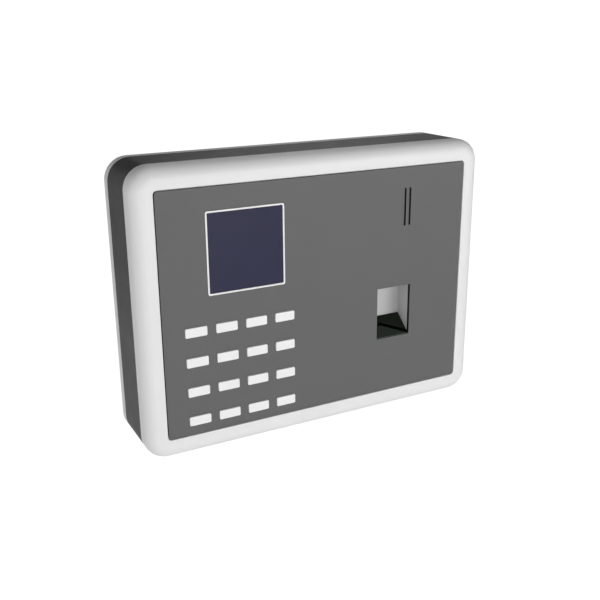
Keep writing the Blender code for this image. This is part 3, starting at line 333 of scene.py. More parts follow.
def scuffs(look):
    """Sparse, long and thin marks: 1 on a mark and 0 elsewhere."""
    lines = noise(look, 1.6, detail=1.0, stretch=(0.10, 1.0, 1.0))
    patches = noise(look, 22.0, detail=1.0)
    return product(look, remap(look, lines, 0.0, 1.0, 0.66, 0.72), remap(look, patches, 0.0, 1.0, 0.5, 0.62))


# ---------------------------------------------------------------- materials

def moulded_plastic(name, colour, roughness, grain_mm=0.30, grain_depth_mm=0.006, mottle=0.03):
    """Moulded plastic: spark-eroded grain, flow mottling, patches handled smoother, and light scuffs."""
    look = new_material(name, colour, roughness)
    shader = shader_of(look)
    flow = remap(look, noise(look, 26.0, detail=3.0), 0.0, 1.0)
    tone = mixed(look, flow, shade(colour, 1.0 - mottle), shade(colour, 1.0 + mottle))
    marks = scuffs(look)
    tone = mixed(look, remap(look, marks, 0.0, 0.25, 0.0, 1.0), tone, shade(colour, 1.0 + 2.0 * mottle))
    link(look, tone, shader.inputs["Base Color"])
    smudges = noise(look, 9.0, detail=4.0, roughness=0.6)
    link(look, remap(look, smudges, roughness - 0.04, roughness + 0.05), shader.inputs["Roughness"])
    bump(look, noise(look, grain_mm, detail=1.0), grain_depth_mm)
    return look


def light_plastic():
    return moulded_plastic("light_case_plastic", CASE_LIGHT, 0.42, mottle=0.008)


def dark_plastic():
    return moulded_plastic("dark_case_plastic", CASE_DARK, 0.46, mottle=0.03)


def panel_sheet():
    """The face plate's front: a printed sheet with a fine matt lacquer."""
    look = moulded_plastic("face_sheet", SHEET_GREY, 0.46, grain_mm=0.18, grain_depth_mm=0.003, mottle=0.012)
    shader_of(look).inputs["Specular IOR Level"].default_value = 0.3
    return look


def sheet_edge_shade():
    """Near-black painted shade on the sheet's cut edges and back, standing for the shadow in the narrow gaps
    around them; the finger well's front edge takes it too.
    """
    look = moulded_plastic("sheet_edge_shade", SHEET_EDGE_SHADE, 0.6, grain_mm=0.12, grain_depth_mm=0.004, mottle=0.1)
    shader_of(look).inputs["Specular IOR Level"].default_value = 0.2
    return look


def key_plastic():
    return moulded_plastic("key_plastic", KEY_WHITE, 0.36, grain_mm=0.22, grain_depth_mm=0.003, mottle=0.006)


def well_plastic():
    return moulded_plastic("well_plastic", WELL_GREY, 0.45, mottle=0.01)


def black_plastic():
    return moulded_plastic("black_plastic", BLACK, 0.5, mottle=0.08)


def smoked_plastic():
    return moulded_plastic("smoked_plastic", (0.006, 0.006, 0.006), 0.35, grain_depth_mm=0.001, mottle=0.1)


def silicone():
    look = moulded_plastic("silicone", (0.30, 0.31, 0.32), 0.62, grain_mm=0.12, grain_depth_mm=0.003)
    shader_of(look).inputs["Subsurface Weight"].default_value = 0.15
    shader_of(look).inputs["Subsurface Scale"].default_value = 1.0 * MM
    return look


def terminal_green():
    return moulded_plastic("terminal_green", (0.03, 0.24, 0.10), 0.42, grain_depth_mm=0.003)


def plunger_white():
    return moulded_plastic("plunger_white", (0.75, 0.75, 0.72), 0.35, grain_depth_mm=0.002)


def connector_cream():
    return moulded_plastic("connector_cream", (0.62, 0.57, 0.44), 0.45, grain_depth_mm=0.003)


def ceramic_tan():
    return moulded_plastic("ceramic_tan", (0.34, 0.24, 0.15), 0.5, grain_mm=0.1, grain_depth_mm=0.002)


def tinted_light(name, colour):
    """A moulded lamp body: clear tinted plastic with a smooth skin."""
    look = moulded_plastic(name, colour, 0.22, grain_depth_mm=0.001)
    shader_of(look).inputs["Coat Weight"].default_value = 0.6
    return look


def paper_cone():
    """Pressed paper, with its fibres."""
    look = new_material("speaker_paper", (0.045, 0.045, 0.05), 0.85)
    fibres = noise(look, 0.35, detail=5.0, roughness=0.7, stretch=(1.0, 0.5, 1.0))
    tone = mixed(look, remap(look, fibres, 0.0, 1.0), (0.03, 0.03, 0.034), (0.065, 0.065, 0.07))
    link(look, tone, shader_of(look).inputs["Base Color"])
    link(look, remap(look, fibres, 0.78, 0.92), shader_of(look).inputs["Roughness"])
    bump(look, fibres, 0.03)
    return look


def polished(name, colour, roughness, specular, smear=0.02):
    """A smooth window with faint wiping marks."""
    look = new_material(name, colour, roughness)
    shader = shader_of(look)
    shader.inputs["Specular IOR Level"].default_value = specular
    wiped = noise(look, 7.0, detail=4.0, roughness=0.65, stretch=(1.0, 1.0, 0.45))
    link(look, remap(look, wiped, roughness - smear, roughness + smear), shader.inputs["Roughness"])
    tone = mixed(look, remap(look, wiped, 0.0, 1.0), shade(colour, 0.95), shade(colour, 1.04))
    link(look, tone, shader.inputs["Base Color"])
    bump(look, noise(look, 5.0, detail=1.0), 0.002)
    return look


def display_glass():
    return polished("display_glass", DISPLAY_BLUE, 0.30, specular=0.15)


def sensor_glass():
    look = polished("sensor_glass", SENSOR_GREEN, 0.045, specular=0.5, smear=0.015)
    shader_of(look).inputs["Specular Tint"].default_value = (0.78, 1.0, 0.74, 1.0)
    return look


def metal(name, colour, roughness, drawn=(1.0, 1.0, 1.0), grain_mm=0.5, depth_mm=0.004):
    """Bare or plated metal with fine drawn lines or grain."""
    look = new_material(name, colour, roughness, metallic=1.0)
    shader = shader_of(look)
    lines = noise(look, grain_mm, detail=4.0, roughness=0.6, stretch=drawn)
    link(look, remap(look, lines, roughness - 0.08, roughness + 0.10), shader.inputs["Roughness"])
    tone = mixed(look, remap(look, lines, 0.0, 1.0), shade(colour, 0.88), colour)
    link(look, tone, shader.inputs["Base Color"])
    bump(look, lines, depth_mm)
    return look


def bright_metal():
    return metal("bright_zinc", ZINC, 0.30, grain_mm=0.8)


def shield_metal():
    return metal("socket_shield", ZINC, 0.28, drawn=(0.12, 1.0, 1.0), grain_mm=0.3, depth_mm=0.002)


def gold_plate():
    return metal("gold_plate", GOLD, 0.24, grain_mm=0.2, depth_mm=0.001)


def tin_plate():
    return metal("tin_plate", TIN, 0.38, grain_mm=0.3, depth_mm=0.003)


def galvanised_steel():
    """Zinc-coated sheet: a faint crystal spangle, rolling lines and dull patches."""
    look = new_material("galvanised_steel", (0.55, 0.56, 0.58), 0.42, metallic=1.0)
    shader = shader_of(look)
    crystals = cells(look, 4.5, "Color")
    tone = mixed(look, crystals, (0.56, 0.57, 0.59), (0.68, 0.69, 0.71))
    link(look, tone, shader.inputs["Base Color"])
    dull = noise(look, 14.0, detail=4.0, roughness=0.6)
    link(look, remap(look, dull, 0.34, 0.54), shader.inputs["Roughness"])
    bump(look, noise(look, 0.5, detail=3.0, stretch=(0.06, 1.0, 1.0)), 0.004)
    return look


def circuit_board():
    """Green mask over raised copper tracks that change direction from patch to patch, with tinned vias."""
    look = new_material("circuit_board", MASK_GREEN, 0.38)
    shader = shader_of(look)
    zone = remap(look, noise(look, 9.0, detail=0.0), 0.0, 1.0, 0.49, 0.51)
    across = remap(look, stripes(look, 1.3, "X"), 0.0, 1.0, 0.60, 0.72)
    upright = remap(look, stripes(look, 1.3, "Z"), 0.0, 1.0, 0.60, 0.72)
    tracks = add_node(look, "ShaderNodeMix", data_type="FLOAT")
    link(look, zone, tracks.inputs["Factor"])
    link(look, across, tracks.inputs[2])
    link(look, upright, tracks.inputs[3])
    raised = tracks.outputs[0]
    tone = mixed(look, raised, MASK_GREEN, shade(MASK_GREEN, 1.9))
    vias = remap(look, cells(look, 4.2), 1.0, 0.0, 0.09, 0.11)
    tone = mixed(look, vias, tone, TIN)
    link(look, tone, shader.inputs["Base Color"])
    link(look, remap(look, noise(look, 5.0, detail=3.0), 0.32, 0.46), shader.inputs["Roughness"])
    bump(look, raised, 0.03)
    return look


def flat_cable():
    """White film with the grey lines of its conductors."""
    film = (0.78, 0.80, 0.83)
    look = new_material("flat_cable", film, 0.38)
    shader = shader_of(look)
    conductors = remap(look, stripes(look, 1.0, "X"), 0.0, 1.0, 0.45, 0.60)
    link(look, mixed(look, conductors, film, (0.46, 0.47, 0.50)), shader.inputs["Base Color"])
    link(look, remap(look, noise(look, 4.0, detail=3.0), 0.32, 0.46), shader.inputs["Roughness"])
    bump(look, conductors, 0.02)
    return look


# ---------------------------------------------------------------- shapes

def box_into(mesh, low, high):
    """Adds a box between two corners."""
    low, high = Vector(low), Vector(high)
    size = high - low
    place = Matrix.Translation((low + high) / 2) @ Matrix.Diagonal((*size, 1.0))
    bmesh.ops.create_cube(mesh, size=1.0, matrix=place)


def lathe_into(mesh, profile, place, steps=24):
    """Adds a turned shape about local Z, from (radius, height) points that start and end on the axis."""
    rings = []
    for radius, height in profile:
        count = steps if radius > 0.0 else 1
        angles = [2.0 * math.pi * i / steps for i in range(count)]
        points = [(radius * math.cos(a), radius * math.sin(a), height) for a in angles]
        rings.append([mesh.verts.new(place @ Vector(point)) for point in points])
    made = []
    for ring, following in zip(rings, rings[1:]):
        for i in range(steps):
            j = (i + 1) % steps
            corners = [ring[i % len(ring)], ring[j % len(ring)]]
            corners += [following[j % len(following)], following[i % len(following)]]
            face = list(dict.fromkeys(corners))
            if len(face) > 2:
                made.append(mesh.faces.new(face))
    bmesh.ops.recalc_face_normals(mesh, faces=made)


def add_piece(name, mesh, look, bevel_mm=0.0, body=CLOCK):
    """A finished piece from a mesh, which rides on a body of the clock."""
    data = bpy.data.meshes.new(name)
    mesh.to_mesh(data)
    mesh.free()
    data.materials.append(look)
    piece = bpy.data.objects.new(name, data)
    bpy.context.scene.collection.objects.link(piece)
    round_edges(piece, bevel_mm)
    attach(piece, body)
    return piece


def round_edges(piece, bevel_mm):
    """Rounds hard edges and shades everything else smooth, with flat faces kept flat."""
    if bevel_mm > 0.0:
        rounding = piece.modifiers.new("rounded_edges", "BEVEL")
        rounding.width = bevel_mm * MM
        rounding.segments = 2
        rounding.limit_method = "ANGLE"
        rounding.angle_limit = math.radians(BEVEL_ANGLE)
    smooth_up_to = ROUNDED_SMOOTH_ANGLE if bevel_mm > 0.0 else SMOOTH_ANGLE
    piece.data.shade_smooth()
    piece.data.set_sharp_from_angle(angle=math.radians(smooth_up_to))
    weighted = piece.modifiers.new("flat_faces_stay_flat", "WEIGHTED_NORMAL")
    weighted.keep_sharp = True


def cad_mesh(node):
    mesh = bmesh.new()
    mesh.from_mesh(frame["nodes"][node].data)
    bmesh.ops.remove_doubles(mesh, verts=mesh.verts, dist=MERGE_DISTANCE)
    return mesh


def from_cad(node, look, bevel_mm):
    """A finer copy of a CAD node: flat faces made whole, hard edges rounded, round faces shaded smooth."""
    mesh = cad_mesh(node)
    bmesh.ops.dissolve_limit(
        mesh, angle_limit=math.radians(FLAT_ANGLE), verts=mesh.verts, edges=mesh.edges
    )
    piece = add_piece(f"{node}_detail", mesh, look, bevel_mm, body=BODY_OF[node])
    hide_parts(node)
    return piece


def repaint(piece, look, wanted):
    """Gives another material to the faces for which wanted(centre, normal) is true."""
    piece.data.materials.append(look)
    slot = len(piece.data.materials) - 1
    for face in piece.data.polygons:
        if wanted(face.center, face.normal):
            face.material_index = slot


def within(low, high):
    """A test for repaint: the face's centre lies between two corners."""
    def wanted(centre, normal):
        return all(a <= c <= b for a, c, b in zip(low, centre, high))
    return wanted


def carve(piece, tool):
    """Cuts a tool's shape out of a piece for good, and removes the tool."""
    cutter = piece.modifiers.new("cut", "BOOLEAN")
    cutter.operation = "DIFFERENCE"
    cutter.solver = "EXACT"
    cutter.use_self = True
    cutter.object = tool
    bpy.context.view_layer.update()
    shown = piece.evaluated_get(bpy.context.evaluated_depsgraph_get())
    piece.data = bpy.data.meshes.new_from_object(shown)
    piece.modifiers.clear()
    bpy.data.objects.remove(tool)


# ---------------------------------------------------------------- case, panel and keys

def case_shells(looks):
    from_cad("front_bezel", looks["light"], 0.12)
    from_cad("mid_shell", looks["dark"], 0.15)
    from_cad("rear_cover", looks["light"], 0.15)


def face_panel(looks):
    panel = from_cad("face_panel", looks["sheet"], 0.05)
    # painted shade: every panel face that does not face the front, its cut edges among them, is near-black
    repaint(panel, looks["edge_shade"], lambda centre, normal: normal.y > -0.5)


def display(looks):
    from_cad("display_trim", looks["white"], 0.08)
    from_cad("display_window", looks["display"], 0.05)
    module = from_cad("lcd_module", looks["black"], 0.1)
    low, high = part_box("lcd_module")
    repaint(module, looks["board"], within(low + Vector((0.0, LCD_SHELL_DEPTH, 0.0)), high))


def keys(looks):
    for node in KEYS:
        from_cad(node, looks["white"], 0.06)


def divide(mesh, border_y, **cleared):
    """Cuts a mesh along the upright plane at border_y, and may clear one side of it."""
    return bmesh.ops.bisect_plane(
        mesh,
        geom=[*mesh.verts, *mesh.edges, *mesh.faces],
        plane_co=(0.0, border_y, 0.0),
        plane_no=(0.0, 1.0, 0.0),
        **cleared,
    )


def one_side_of(node, border_y, front):
    """A closed mesh of the part of a CAD node that lies in front of, or behind, an upright plane."""
    mesh = cad_mesh(node)
    made = divide(mesh, border_y, clear_outer=front, clear_inner=not front)
    rim = [part for part in made["geom_cut"] if isinstance(part, bmesh.types.BMEdge)]
    bmesh.ops.holes_fill(mesh, edges=rim)
    return mesh


def key_dome(key, border_y, look):
    """The silicone dome behind a key, as a piece of its own."""
    low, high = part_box(key)
    middle = (low + high) / 2
    mesh = one_side_of("key_mat", border_y, front=True)
    others = [
        vert for vert in mesh.verts
        if abs(vert.co.x - middle.x) > DOME_REACH or abs(vert.co.z - middle.z) > DOME_REACH
    ]
    bmesh.ops.delete(mesh, geom=others, context="VERTS")
    dome = add_piece(f"{key}_dome", mesh, look)
    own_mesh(dome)


def keypad_inside(looks):
    """The mat's sheet with its separate domes, and the board behind them."""
    border_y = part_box("key_mat")[1].y - MAT_SHEET_T
    sheet = add_piece("key_mat_sheet", one_side_of("key_mat", border_y, front=False), looks["silicone"])
    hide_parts("key_mat")
    for key in KEYS:
        key_dome(key, border_y, looks["silicone"])
    from_cad("keypad_board", looks["board"], 0.05)


def blacken_front(piece, look, depth):
    """Paints the first part of a piece, down to the given depth behind its front, in another material."""
    mesh = bmesh.new()
    mesh.from_mesh(piece.data)
    border_y = min(vert.co.y for vert in mesh.verts) + depth
    divide(mesh, border_y)
    mesh.to_mesh(piece.data)
    mesh.free()
    repaint(piece, look, lambda centre, normal: centre.y < border_y)


def sensor(looks):
    well = from_cad("finger_well", looks["well"], 0.1)
    # painted shade: the well's front edge is near-black for the shadow in its joint with the panel
    blacken_front(well, looks["edge_shade"], WELL_SHADE_EDGE)
    from_cad("sensor_prism", looks["sensor"], 0.10)
    housing = from_cad("sensor_housing", looks["black"], 0.1)
    low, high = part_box("sensor_housing")
    lens_end = Vector((high.x, low.y + LENS_DEPTH, high.z))
    repaint(housing, looks["display"], within(low, lens_end))
    from_cad("sensor_board", looks["board"], 0.05)


def indicator_lights(looks):
    from_cad("light_guide", looks["smoked"], 0.1)
    from_cad("light_board", looks["board"], 0.05)
    from_cad("green_light", looks["green"], 0.1)
    from_cad("red_light", looks["red"], 0.1)


# ---------------------------------------------------------------- sockets

def ethernet_jack(looks):
    """The shield, its black insert, and eight sprung contacts that slope down into the mouth."""
    jack = from_cad("ethernet_jack", looks["shield"], 0.1)
    low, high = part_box("ethernet_jack")
    insert_low = Vector((low.x, high.y - JACK_MOUTH_DEPTH - JACK_PAST_MOUTH, low.z)) + JACK_SHIELD
    insert_high = Vector((high.x, high.y - JACK_RIM, high.z)) - JACK_SHIELD
    repaint(jack, looks["black"], within(insert_low, insert_high))
    top_z = (low.z + high.z) / 2 + CONTACT_RISE
    start_y = high.y - CONTACT_INSET
    strip = [
        (start_y, top_z),
        (start_y - CONTACT_FLAT, top_z),
        (start_y - CONTACT_REACH, top_z - CONTACT_DROP),
    ]
    mesh = bmesh.new()
    for x in evenly((low.x + high.x) / 2, CONTACTS, CONTACT_PITCH):
        strip_into(mesh, strip, (x - CONTACT_W / 2, x + CONTACT_W / 2), CONTACT_T)
    add_piece("ethernet_contacts", mesh, looks["gold"])


def evenly(middle, count, pitch):
    """Places at an even pitch, centred on the middle."""
    return [middle + (i - (count - 1) / 2) * pitch for i in range(count)]


def strip_into(mesh, path, x_range, thickness):
    """Adds a bent strip of metal, from (y, z) points along its upper side."""
    rows = []
    for y, z in path:
        corners = [(x_range[0], y, z), (x_range[1], y, z)]
        corners += [(x_range[1], y, z - thickness), (x_range[0], y, z - thickness)]
        rows.append([mesh.verts.new(corner) for corner in corners])
    made = [mesh.faces.new(rows[0]), mesh.faces.new(rows[-1])]
    for row, following in zip(rows, rows[1:]):
        for i in range(4):
            j = (i + 1) % 4
            made.append(mesh.faces.new((row[i], row[j], following[j], following[i])))
    bmesh.ops.recalc_face_normals(mesh, faces=made)


def power_jack(looks):
    """The barrel socket with a metal pin and the spring that touches the plug's side."""
    jack = from_cad("power_jack", looks["black"], 0.12)
    low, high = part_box("power_jack")
    centre = (low + high) / 2
    pin_low = Vector((centre.x, high.y - PIN_TO, centre.z)) - PIN_HALF
    pin_high = Vector((centre.x, high.y - PIN_FROM, centre.z)) + PIN_HALF
    repaint(jack, looks["tin"], within(pin_low, pin_high))
    mesh = bmesh.new()
    spring_z = centre.z + SPRING_RISE
    heights = (spring_z, spring_z - SPRING_BOW, spring_z)
    path = [(high.y - depth, z) for depth, z in zip(SPRING_DEPTHS, heights)]
    strip_into(mesh, path, (centre.x - SPRING_W / 2, centre.x + SPRING_W / 2), SPRING_T)
    add_piece("power_spring", mesh, looks["tin"])


def terminal_block(looks):
    """The block, with a slotted clamp screw over each wire entry."""
    from_cad("terminal_block", looks["terminal"], 0.15)
    low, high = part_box("terminal_block")
    head_y = high.y - CLAMP_INSET
    centre_z = (low.z + high.z) / 2 + CLAMP_RISE
    turn = Matrix.Rotation(-math.pi / 2, 4, "X")
    edge = [(CLAMP_R, 0.0), (CLAMP_R, CLAMP_EDGE), (CLAMP_FACE_R, CLAMP_H)]
    profile = [(0.0, 0.0), *edge, (0.0, CLAMP_H)]
    slot_size = Vector((CLAMP_SLOT_L, CLAMP_SLOT_TOP - CLAMP_SLOT_FLOOR, CLAMP_SLOT_W))
    heads = bmesh.new()
    slots = bmesh.new()
    for x in evenly((low.x + high.x) / 2, TERMINALS, TERMINAL_PITCH):
        place = Matrix.Translation((x, head_y, centre_z)) @ turn
        lathe_into(heads, profile, place, 20)
        slot_low = Vector((x - CLAMP_SLOT_L / 2, head_y + CLAMP_SLOT_FLOOR, centre_z - CLAMP_SLOT_W / 2))
        box_into(slots, slot_low, slot_low + slot_size)
    screws = add_piece("terminal_screws", heads, looks["tin"])
    tool = add_piece("terminal_slots", slots, looks["tin"])
    carve(screws, tool)
    round_edges(screws, 0.0)


def usb_port(looks):
    """The folded shield, with a black tongue and four contacts on it."""
    port = from_cad("usb_port", looks["shield"], 0.06)
    low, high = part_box("usb_port")
    tongue_low = Vector((low.x + TONGUE_SIDE, low.y + TONGUE_Y[0], low.z + TONGUE_Z[0]))
    tongue_high = Vector((high.x - TONGUE_SIDE, low.y + TONGUE_Y[1], high.z - TONGUE_Z[1]))
    repaint(port, looks["black"], within(tongue_low, tongue_high))
    mesh = bmesh.new()
    for x in evenly((low.x + high.x) / 2, USB_CONTACTS, USB_CONTACT_PITCH):
        contact_low = (x - USB_CONTACT_W / 2, low.y + USB_CONTACT_Y[0], low.z + USB_CONTACT_Z[0])
        contact_high = (x + USB_CONTACT_W / 2, low.y + USB_CONTACT_Y[1], low.z + USB_CONTACT_Z[1])
        box_into(mesh, contact_low, contact_high)
    add_piece("usb_contacts", mesh, looks["gold"])


# ---------------------------------------------------------------- boards and what stands on them

def main_board(looks):
    from_cad("main_board", looks["board"], 0.05)
    from_cad("processor", looks["black"], 0.1)
    board_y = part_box("main_board")[0].y
    processor_legs(looks, board_y)
    small_parts(looks, board_y)
    ribbon_sockets(looks, board_y)


def processor_legs(looks, board_y):
    """Bent legs on all four sides of the processor."""
    low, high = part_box("processor")
    centre = (low + high) / 2
    near_y = board_y - LEG_Y[0]
    far_y = board_y - LEG_Y[1]
    half = LEG_W / 2
    mesh = bmesh.new()
    for along in evenly(0.0, LEGS_PER_SIDE, LEG_PITCH):
        x = centre.x + along
        z = centre.z + along
        for side in (-1, 1):
            edge_x = centre.x + side * (high.x - low.x) / 2
            edge_z = centre.z + side * (high.z - low.z) / 2
            x_range = sorted((edge_x, edge_x + side * LEG_REACH))
            z_range = sorted((edge_z, edge_z + side * LEG_REACH))
            box_into(mesh, (x_range[0], near_y, z - half), (x_range[1], far_y, z + half))
            box_into(mesh, (x - half, near_y, z_range[0]), (x + half, far_y, z_range[1]))
    add_piece("processor_legs", mesh, looks["tin"])


def small_parts(looks, board_y):
    """Rows of ceramic parts with tinned ends."""
    bodies = bmesh.new()
    ends = bmesh.new()
    front = board_y - CERAMIC_T
    back = board_y - SOLDER_GAP
    body_half = CERAMIC_L / 2
    end_half = body_half + CERAMIC_END
    for row, row_z in enumerate(CERAMIC_ROWS_Z):
        low_z = row_z - CERAMIC_H / 2
        high_z = row_z + CERAMIC_H / 2
        for i in range(CERAMIC_PER_ROW):
            x = CERAMIC_FIRST_X + CERAMIC_PITCH * i + CERAMIC_STAGGER * (row % 2)
            box_into(bodies, (x - body_half, front, low_z), (x + body_half, back, high_z))
            for side in (-1, 1):
                end = sorted((x + side * body_half, x + side * end_half))
                box_into(ends, (end[0], front, low_z), (end[1], back, high_z))
    add_piece("ceramic_parts", bodies, looks["ceramic"], 0.06)
    add_piece("ceramic_ends", ends, looks["tin"], 0.06)


def ribbon_sockets(looks, board_y):
    """Cream sockets at the lower ends of two of the ribbons."""
    sockets = bmesh.new()
    for node in ("keypad_ribbon", "display_ribbon"):
        low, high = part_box(node)
        socket_low = (low.x - RIBBON_SOCKET_SIDE, board_y - RIBBON_SOCKET_T, low.z + RIBBON_SOCKET_Z[0])
        socket_high = (high.x + RIBBON_SOCKET_SIDE, board_y - SOLDER_GAP, low.z + RIBBON_SOCKET_Z[1])
        box_into(sockets, socket_low, socket_high)
    add_piece("ribbon_sockets", sockets, looks["cream"], 0.12)


def backup_cell(looks):
    from_cad("cell_holder", looks["black"], 0.2)
    from_cad("backup_cell", looks["shield"], 0.1)


def speaker(looks):
    from_cad("speaker_basket", looks["black"], 0.08)
    from_cad("speaker_cone", looks["paper"], 0.0)


def switches(looks):
    from_cad("tamper_switch", looks["black"], 0.12)
    from_cad("tamper_plunger", looks["plunger"], 0.1)
    from_cad("reset_switch", looks["shield"], 0.12)
    from_cad("reset_button", looks["black"], 0.08)


def ribbons(looks):
    for node in ("keypad_ribbon", "display_ribbon", "sensor_ribbon"):
        from_cad(node, looks["ribbon"], 0.0)


# ---------------------------------------------------------------- fasteners and the wall plate

def screw_profile(head_r, head_h, shank_r, length):
    """A pan head whose top is at height 0, over a threaded shank with a pointed end."""
    steps = 5
    points = [(0.0, 0.0), (head_r * HEAD_FLAT, 0.0)]
    for step in range(1, steps + 1):
        angle = math.pi / 2 * step / steps
        radius = head_r * (HEAD_FLAT + (1.0 - HEAD_FLAT) * math.sin(angle))
        points.append((radius, -HEAD_ROUND * head_h * (1.0 - math.cos(angle))))
    points += [(head_r, -head_h), (shank_r, -head_h)]
    height = -head_h - 0.5 * THREAD_PITCH
    root_r = shank_r * (1.0 - THREAD_DEPTH)
    while height > -length + shank_r + THREAD_PITCH:
        points.append((shank_r, height))
        points.append((root_r, height - 0.4 * THREAD_PITCH))
        points.append((root_r, height - 0.6 * THREAD_PITCH))
        height -= THREAD_PITCH
    points += [(root_r, -length + shank_r), (0.4 * root_r, -length), (0.0, -length)]
    return points


def screw(node, look, axis, head_h, shank_r):
    """A cross-recessed screw in place of a CAD screw. axis points out of its head."""
    low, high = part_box(node)
    centre = (low + high) / 2
    size = high - low
    length = max(size)
    head_r = min(size) / 2
    axis = Vector(axis)
    top = centre + axis * (length / 2)
    place = Matrix.Translation(top) @ axis.to_track_quat("Z", "Y").to_matrix().to_4x4()
    mesh = bmesh.new()
    lathe_into(mesh, screw_profile(head_r, head_h, shank_r, length), place, 28)
    piece = add_piece(f"{node}_detail", mesh, look, body=BODY_OF[node])
    carve(piece, cross_tool(place, head_r, head_h, look))
    round_edges(piece, 0.0)
    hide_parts(node)


def cross_tool(place, head_r, head_h, look):
    """Two crossed wedges, wider at the top than at the bottom."""
    mesh = bmesh.new()
    half = CROSS_HALF_W * head_r
    heights = (CROSS_CLEAR, -CROSS_DEPTH * head_h)
    for turn in (0.0, math.pi / 2):
        turned = place @ Matrix.Rotation(turn, 4, "Z")
        levels = []
        for height, share in zip(heights, CROSS_REACH):
            reach = share * head_r
            corners = [(-reach, -half), (reach, -half), (reach, half), (-reach, half)]
            levels.append([mesh.verts.new(turned @ Vector((x, y, height))) for x, y in corners])
        upper, lower = levels
        made = [mesh.faces.new(upper), mesh.faces.new(lower)]
        for i in range(4):
            j = (i + 1) % 4
            made.append(mesh.faces.new((upper[i], upper[j], lower[j], lower[i])))
        bmesh.ops.recalc_face_normals(mesh, faces=made)
    return add_piece("cross_tool", mesh, look)


def screws(looks):
    for node in CASE_SCREWS:
        screw(node, looks["zinc"], (0, 1, 0), 2.0 * MM, 1.45 * MM)
    for node in BOARD_SCREWS:
        screw(node, looks["zinc"], (0, -1, 0), 1.4 * MM, 1.15 * MM)
    screw("lock_screw", looks["zinc"], (0, 0, -1), 0.9 * MM, 0.95 * MM)


def wall_plate(looks):
    from_cad("wall_plate", looks["steel"], 0.12)


# ---------------------------------------------------------------- camera and studio

def add_camera():
    """To the left of square on and above, at the distance the view needs."""
    lens = bpy.data.cameras.new("camera")
    lens.lens = LENS_MM
    lens.sensor_width = SENSOR_MM
    lens.clip_start = 0.01
    camera = bpy.data.objects.new("camera", lens)
    bpy.context.scene.collection.objects.link(camera)
    forward = CAMERA_FORWARD.normalized()
    right = (CAMERA_RIGHT - forward * CAMERA_RIGHT.dot(forward)).normalized()
    up = right.cross(forward)
    turned = Matrix((right, up, -forward)).transposed()
    camera.matrix_world = Matrix.Translation(CAMERA_PLACE) @ turned.to_4x4()
    bpy.context.scene.camera = camera


def add_lamp(name, azimuth, elevation, power):
    """A soft disc of light aimed at the clock. Azimuth 0 is straight in front and +90 is on its right."""
    data = bpy.data.lights.new(name, "AREA")
    data.shape = "DISK"
    data.size = LAMP_SIZE
    data.energy = power
    lamp = bpy.data.objects.new(name, data)
    bpy.context.scene.collection.objects.link(lamp)
    turn = math.radians(azimuth)
    rise = math.radians(elevation)
    away = Vector((math.sin(turn) * math.cos(rise), -math.cos(turn) * math.cos(rise), math.sin(rise)))
    lamp.location = LAMP_TARGET + away * LAMP_DISTANCE
    lamp.rotation_euler = (-away).to_track_quat("-Z", "Y").to_euler()
    return lamp


def add_studio():
    """Soft lamps, and a backdrop that is white to the camera and dim to everything else."""
    bpy.context.scene.view_settings.view_transform = "Standard"
    world = bpy.data.worlds.new("studio")
    world.use_nodes = True
    bpy.context.scene.world = world
    tree = world.node_tree
    around = tree.nodes["Background"]
    around.inputs["Color"].default_value = (1.0, 1.0, 1.0, 1.0)
    around.inputs["Strength"].default_value = AMBIENT
    seen = tree.nodes.new("ShaderNodeBackground")
    seen.inputs["Color"].default_value = (1.0, 1.0, 1.0, 1.0)
    seen.inputs["Strength"].default_value = BACKDROP_WHITE
    chooser = tree.nodes.new("ShaderNodeMixShader")
    path = tree.nodes.new("ShaderNodeLightPath")
    tree.links.new(path.outputs["Is Camera Ray"], chooser.inputs["Fac"])
    tree.links.new(around.outputs[0], chooser.inputs[1])
    tree.links.new(seen.outputs[0], chooser.inputs[2])
    tree.links.new(chooser.outputs[0], tree.nodes["World Output"].inputs["Surface"])
    for settings in LAMPS:
        add_lamp(*settings)
    behind = add_lamp(*BACK_LAMP)
    behind.visible_glossy = False


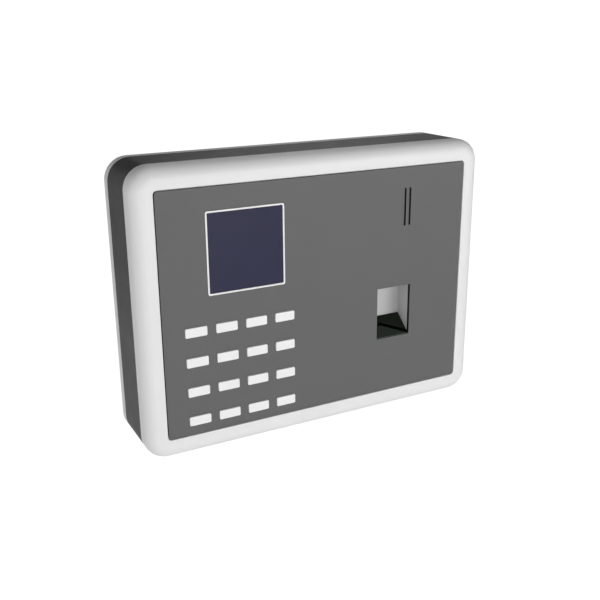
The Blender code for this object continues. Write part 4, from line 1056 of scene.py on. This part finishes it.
def floor_paper():
    """Pale paper that glows softly upwards, and that the camera sees as bright as the backdrop."""
    look = new_material("floor_paper", (0.92, 0.92, 0.92), 0.9)
    shader = shader_of(look)
    shader.inputs["Emission Color"].default_value = (1.0, 1.0, 1.0, 1.0)
    shader.inputs["Emission Strength"].default_value = FLOOR_GLOW
    path = add_node(look, "ShaderNodeLightPath")
    bright = add_node(look, "ShaderNodeEmission")
    bright.inputs["Strength"].default_value = BACKDROP_WHITE
    chooser = add_node(look, "ShaderNodeMixShader")
    link(look, path.outputs["Is Camera Ray"], chooser.inputs["Fac"])
    link(look, shader.outputs[0], chooser.inputs[1])
    link(look, bright.outputs[0], chooser.inputs[2])
    link(look, chooser.outputs[0], look.node_tree.nodes["Material Output"].inputs["Surface"])
    return look


def add_floor():
    mesh = bmesh.new()
    bmesh.ops.create_grid(mesh, x_segments=4, y_segments=4, size=FLOOR_HALF_SIDE)
    data = bpy.data.meshes.new("studio_floor")
    mesh.to_mesh(data)
    mesh.free()
    data.materials.append(floor_paper())
    floor = bpy.data.objects.new("studio_floor", data)
    bpy.context.scene.collection.objects.link(floor)
    floor.location = (0.0, 0.0, cad_box[0][2] - FLOOR_DROP)


# ---------------------------------------------------------------- the clock

def make_looks():
    return {
        "light": light_plastic(),
        "dark": dark_plastic(),
        "sheet": panel_sheet(),
        "edge_shade": sheet_edge_shade(),
        "white": key_plastic(),
        "well": well_plastic(),
        "black": black_plastic(),
        "smoked": smoked_plastic(),
        "display": display_glass(),
        "sensor": sensor_glass(),
        "silicone": silicone(),
        "board": circuit_board(),
        "terminal": terminal_green(),
        "plunger": plunger_white(),
        "cream": connector_cream(),
        "ceramic": ceramic_tan(),
        "green": tinted_light("green_light", (0.05, 0.6, 0.12)),
        "red": tinted_light("red_light", (0.7, 0.05, 0.04)),
        "paper": paper_cone(),
        "ribbon": flat_cable(),
        "zinc": bright_metal(),
        "shield": shield_metal(),
        "gold": gold_plate(),
        "tin": tin_plate(),
        "steel": galvanised_steel(),
    }


def dress():
    looks = make_looks()
    case_shells(looks)
    face_panel(looks)
    display(looks)
    keys(looks)
    keypad_inside(looks)
    sensor(looks)
    indicator_lights(looks)
    ethernet_jack(looks)
    power_jack(looks)
    terminal_block(looks)
    usb_port(looks)
    main_board(looks)
    backup_cell(looks)
    speaker(looks)
    switches(looks)
    ribbons(looks)
    screws(looks)
    wall_plate(looks)


add_camera()
add_studio()
add_floor()
dress()
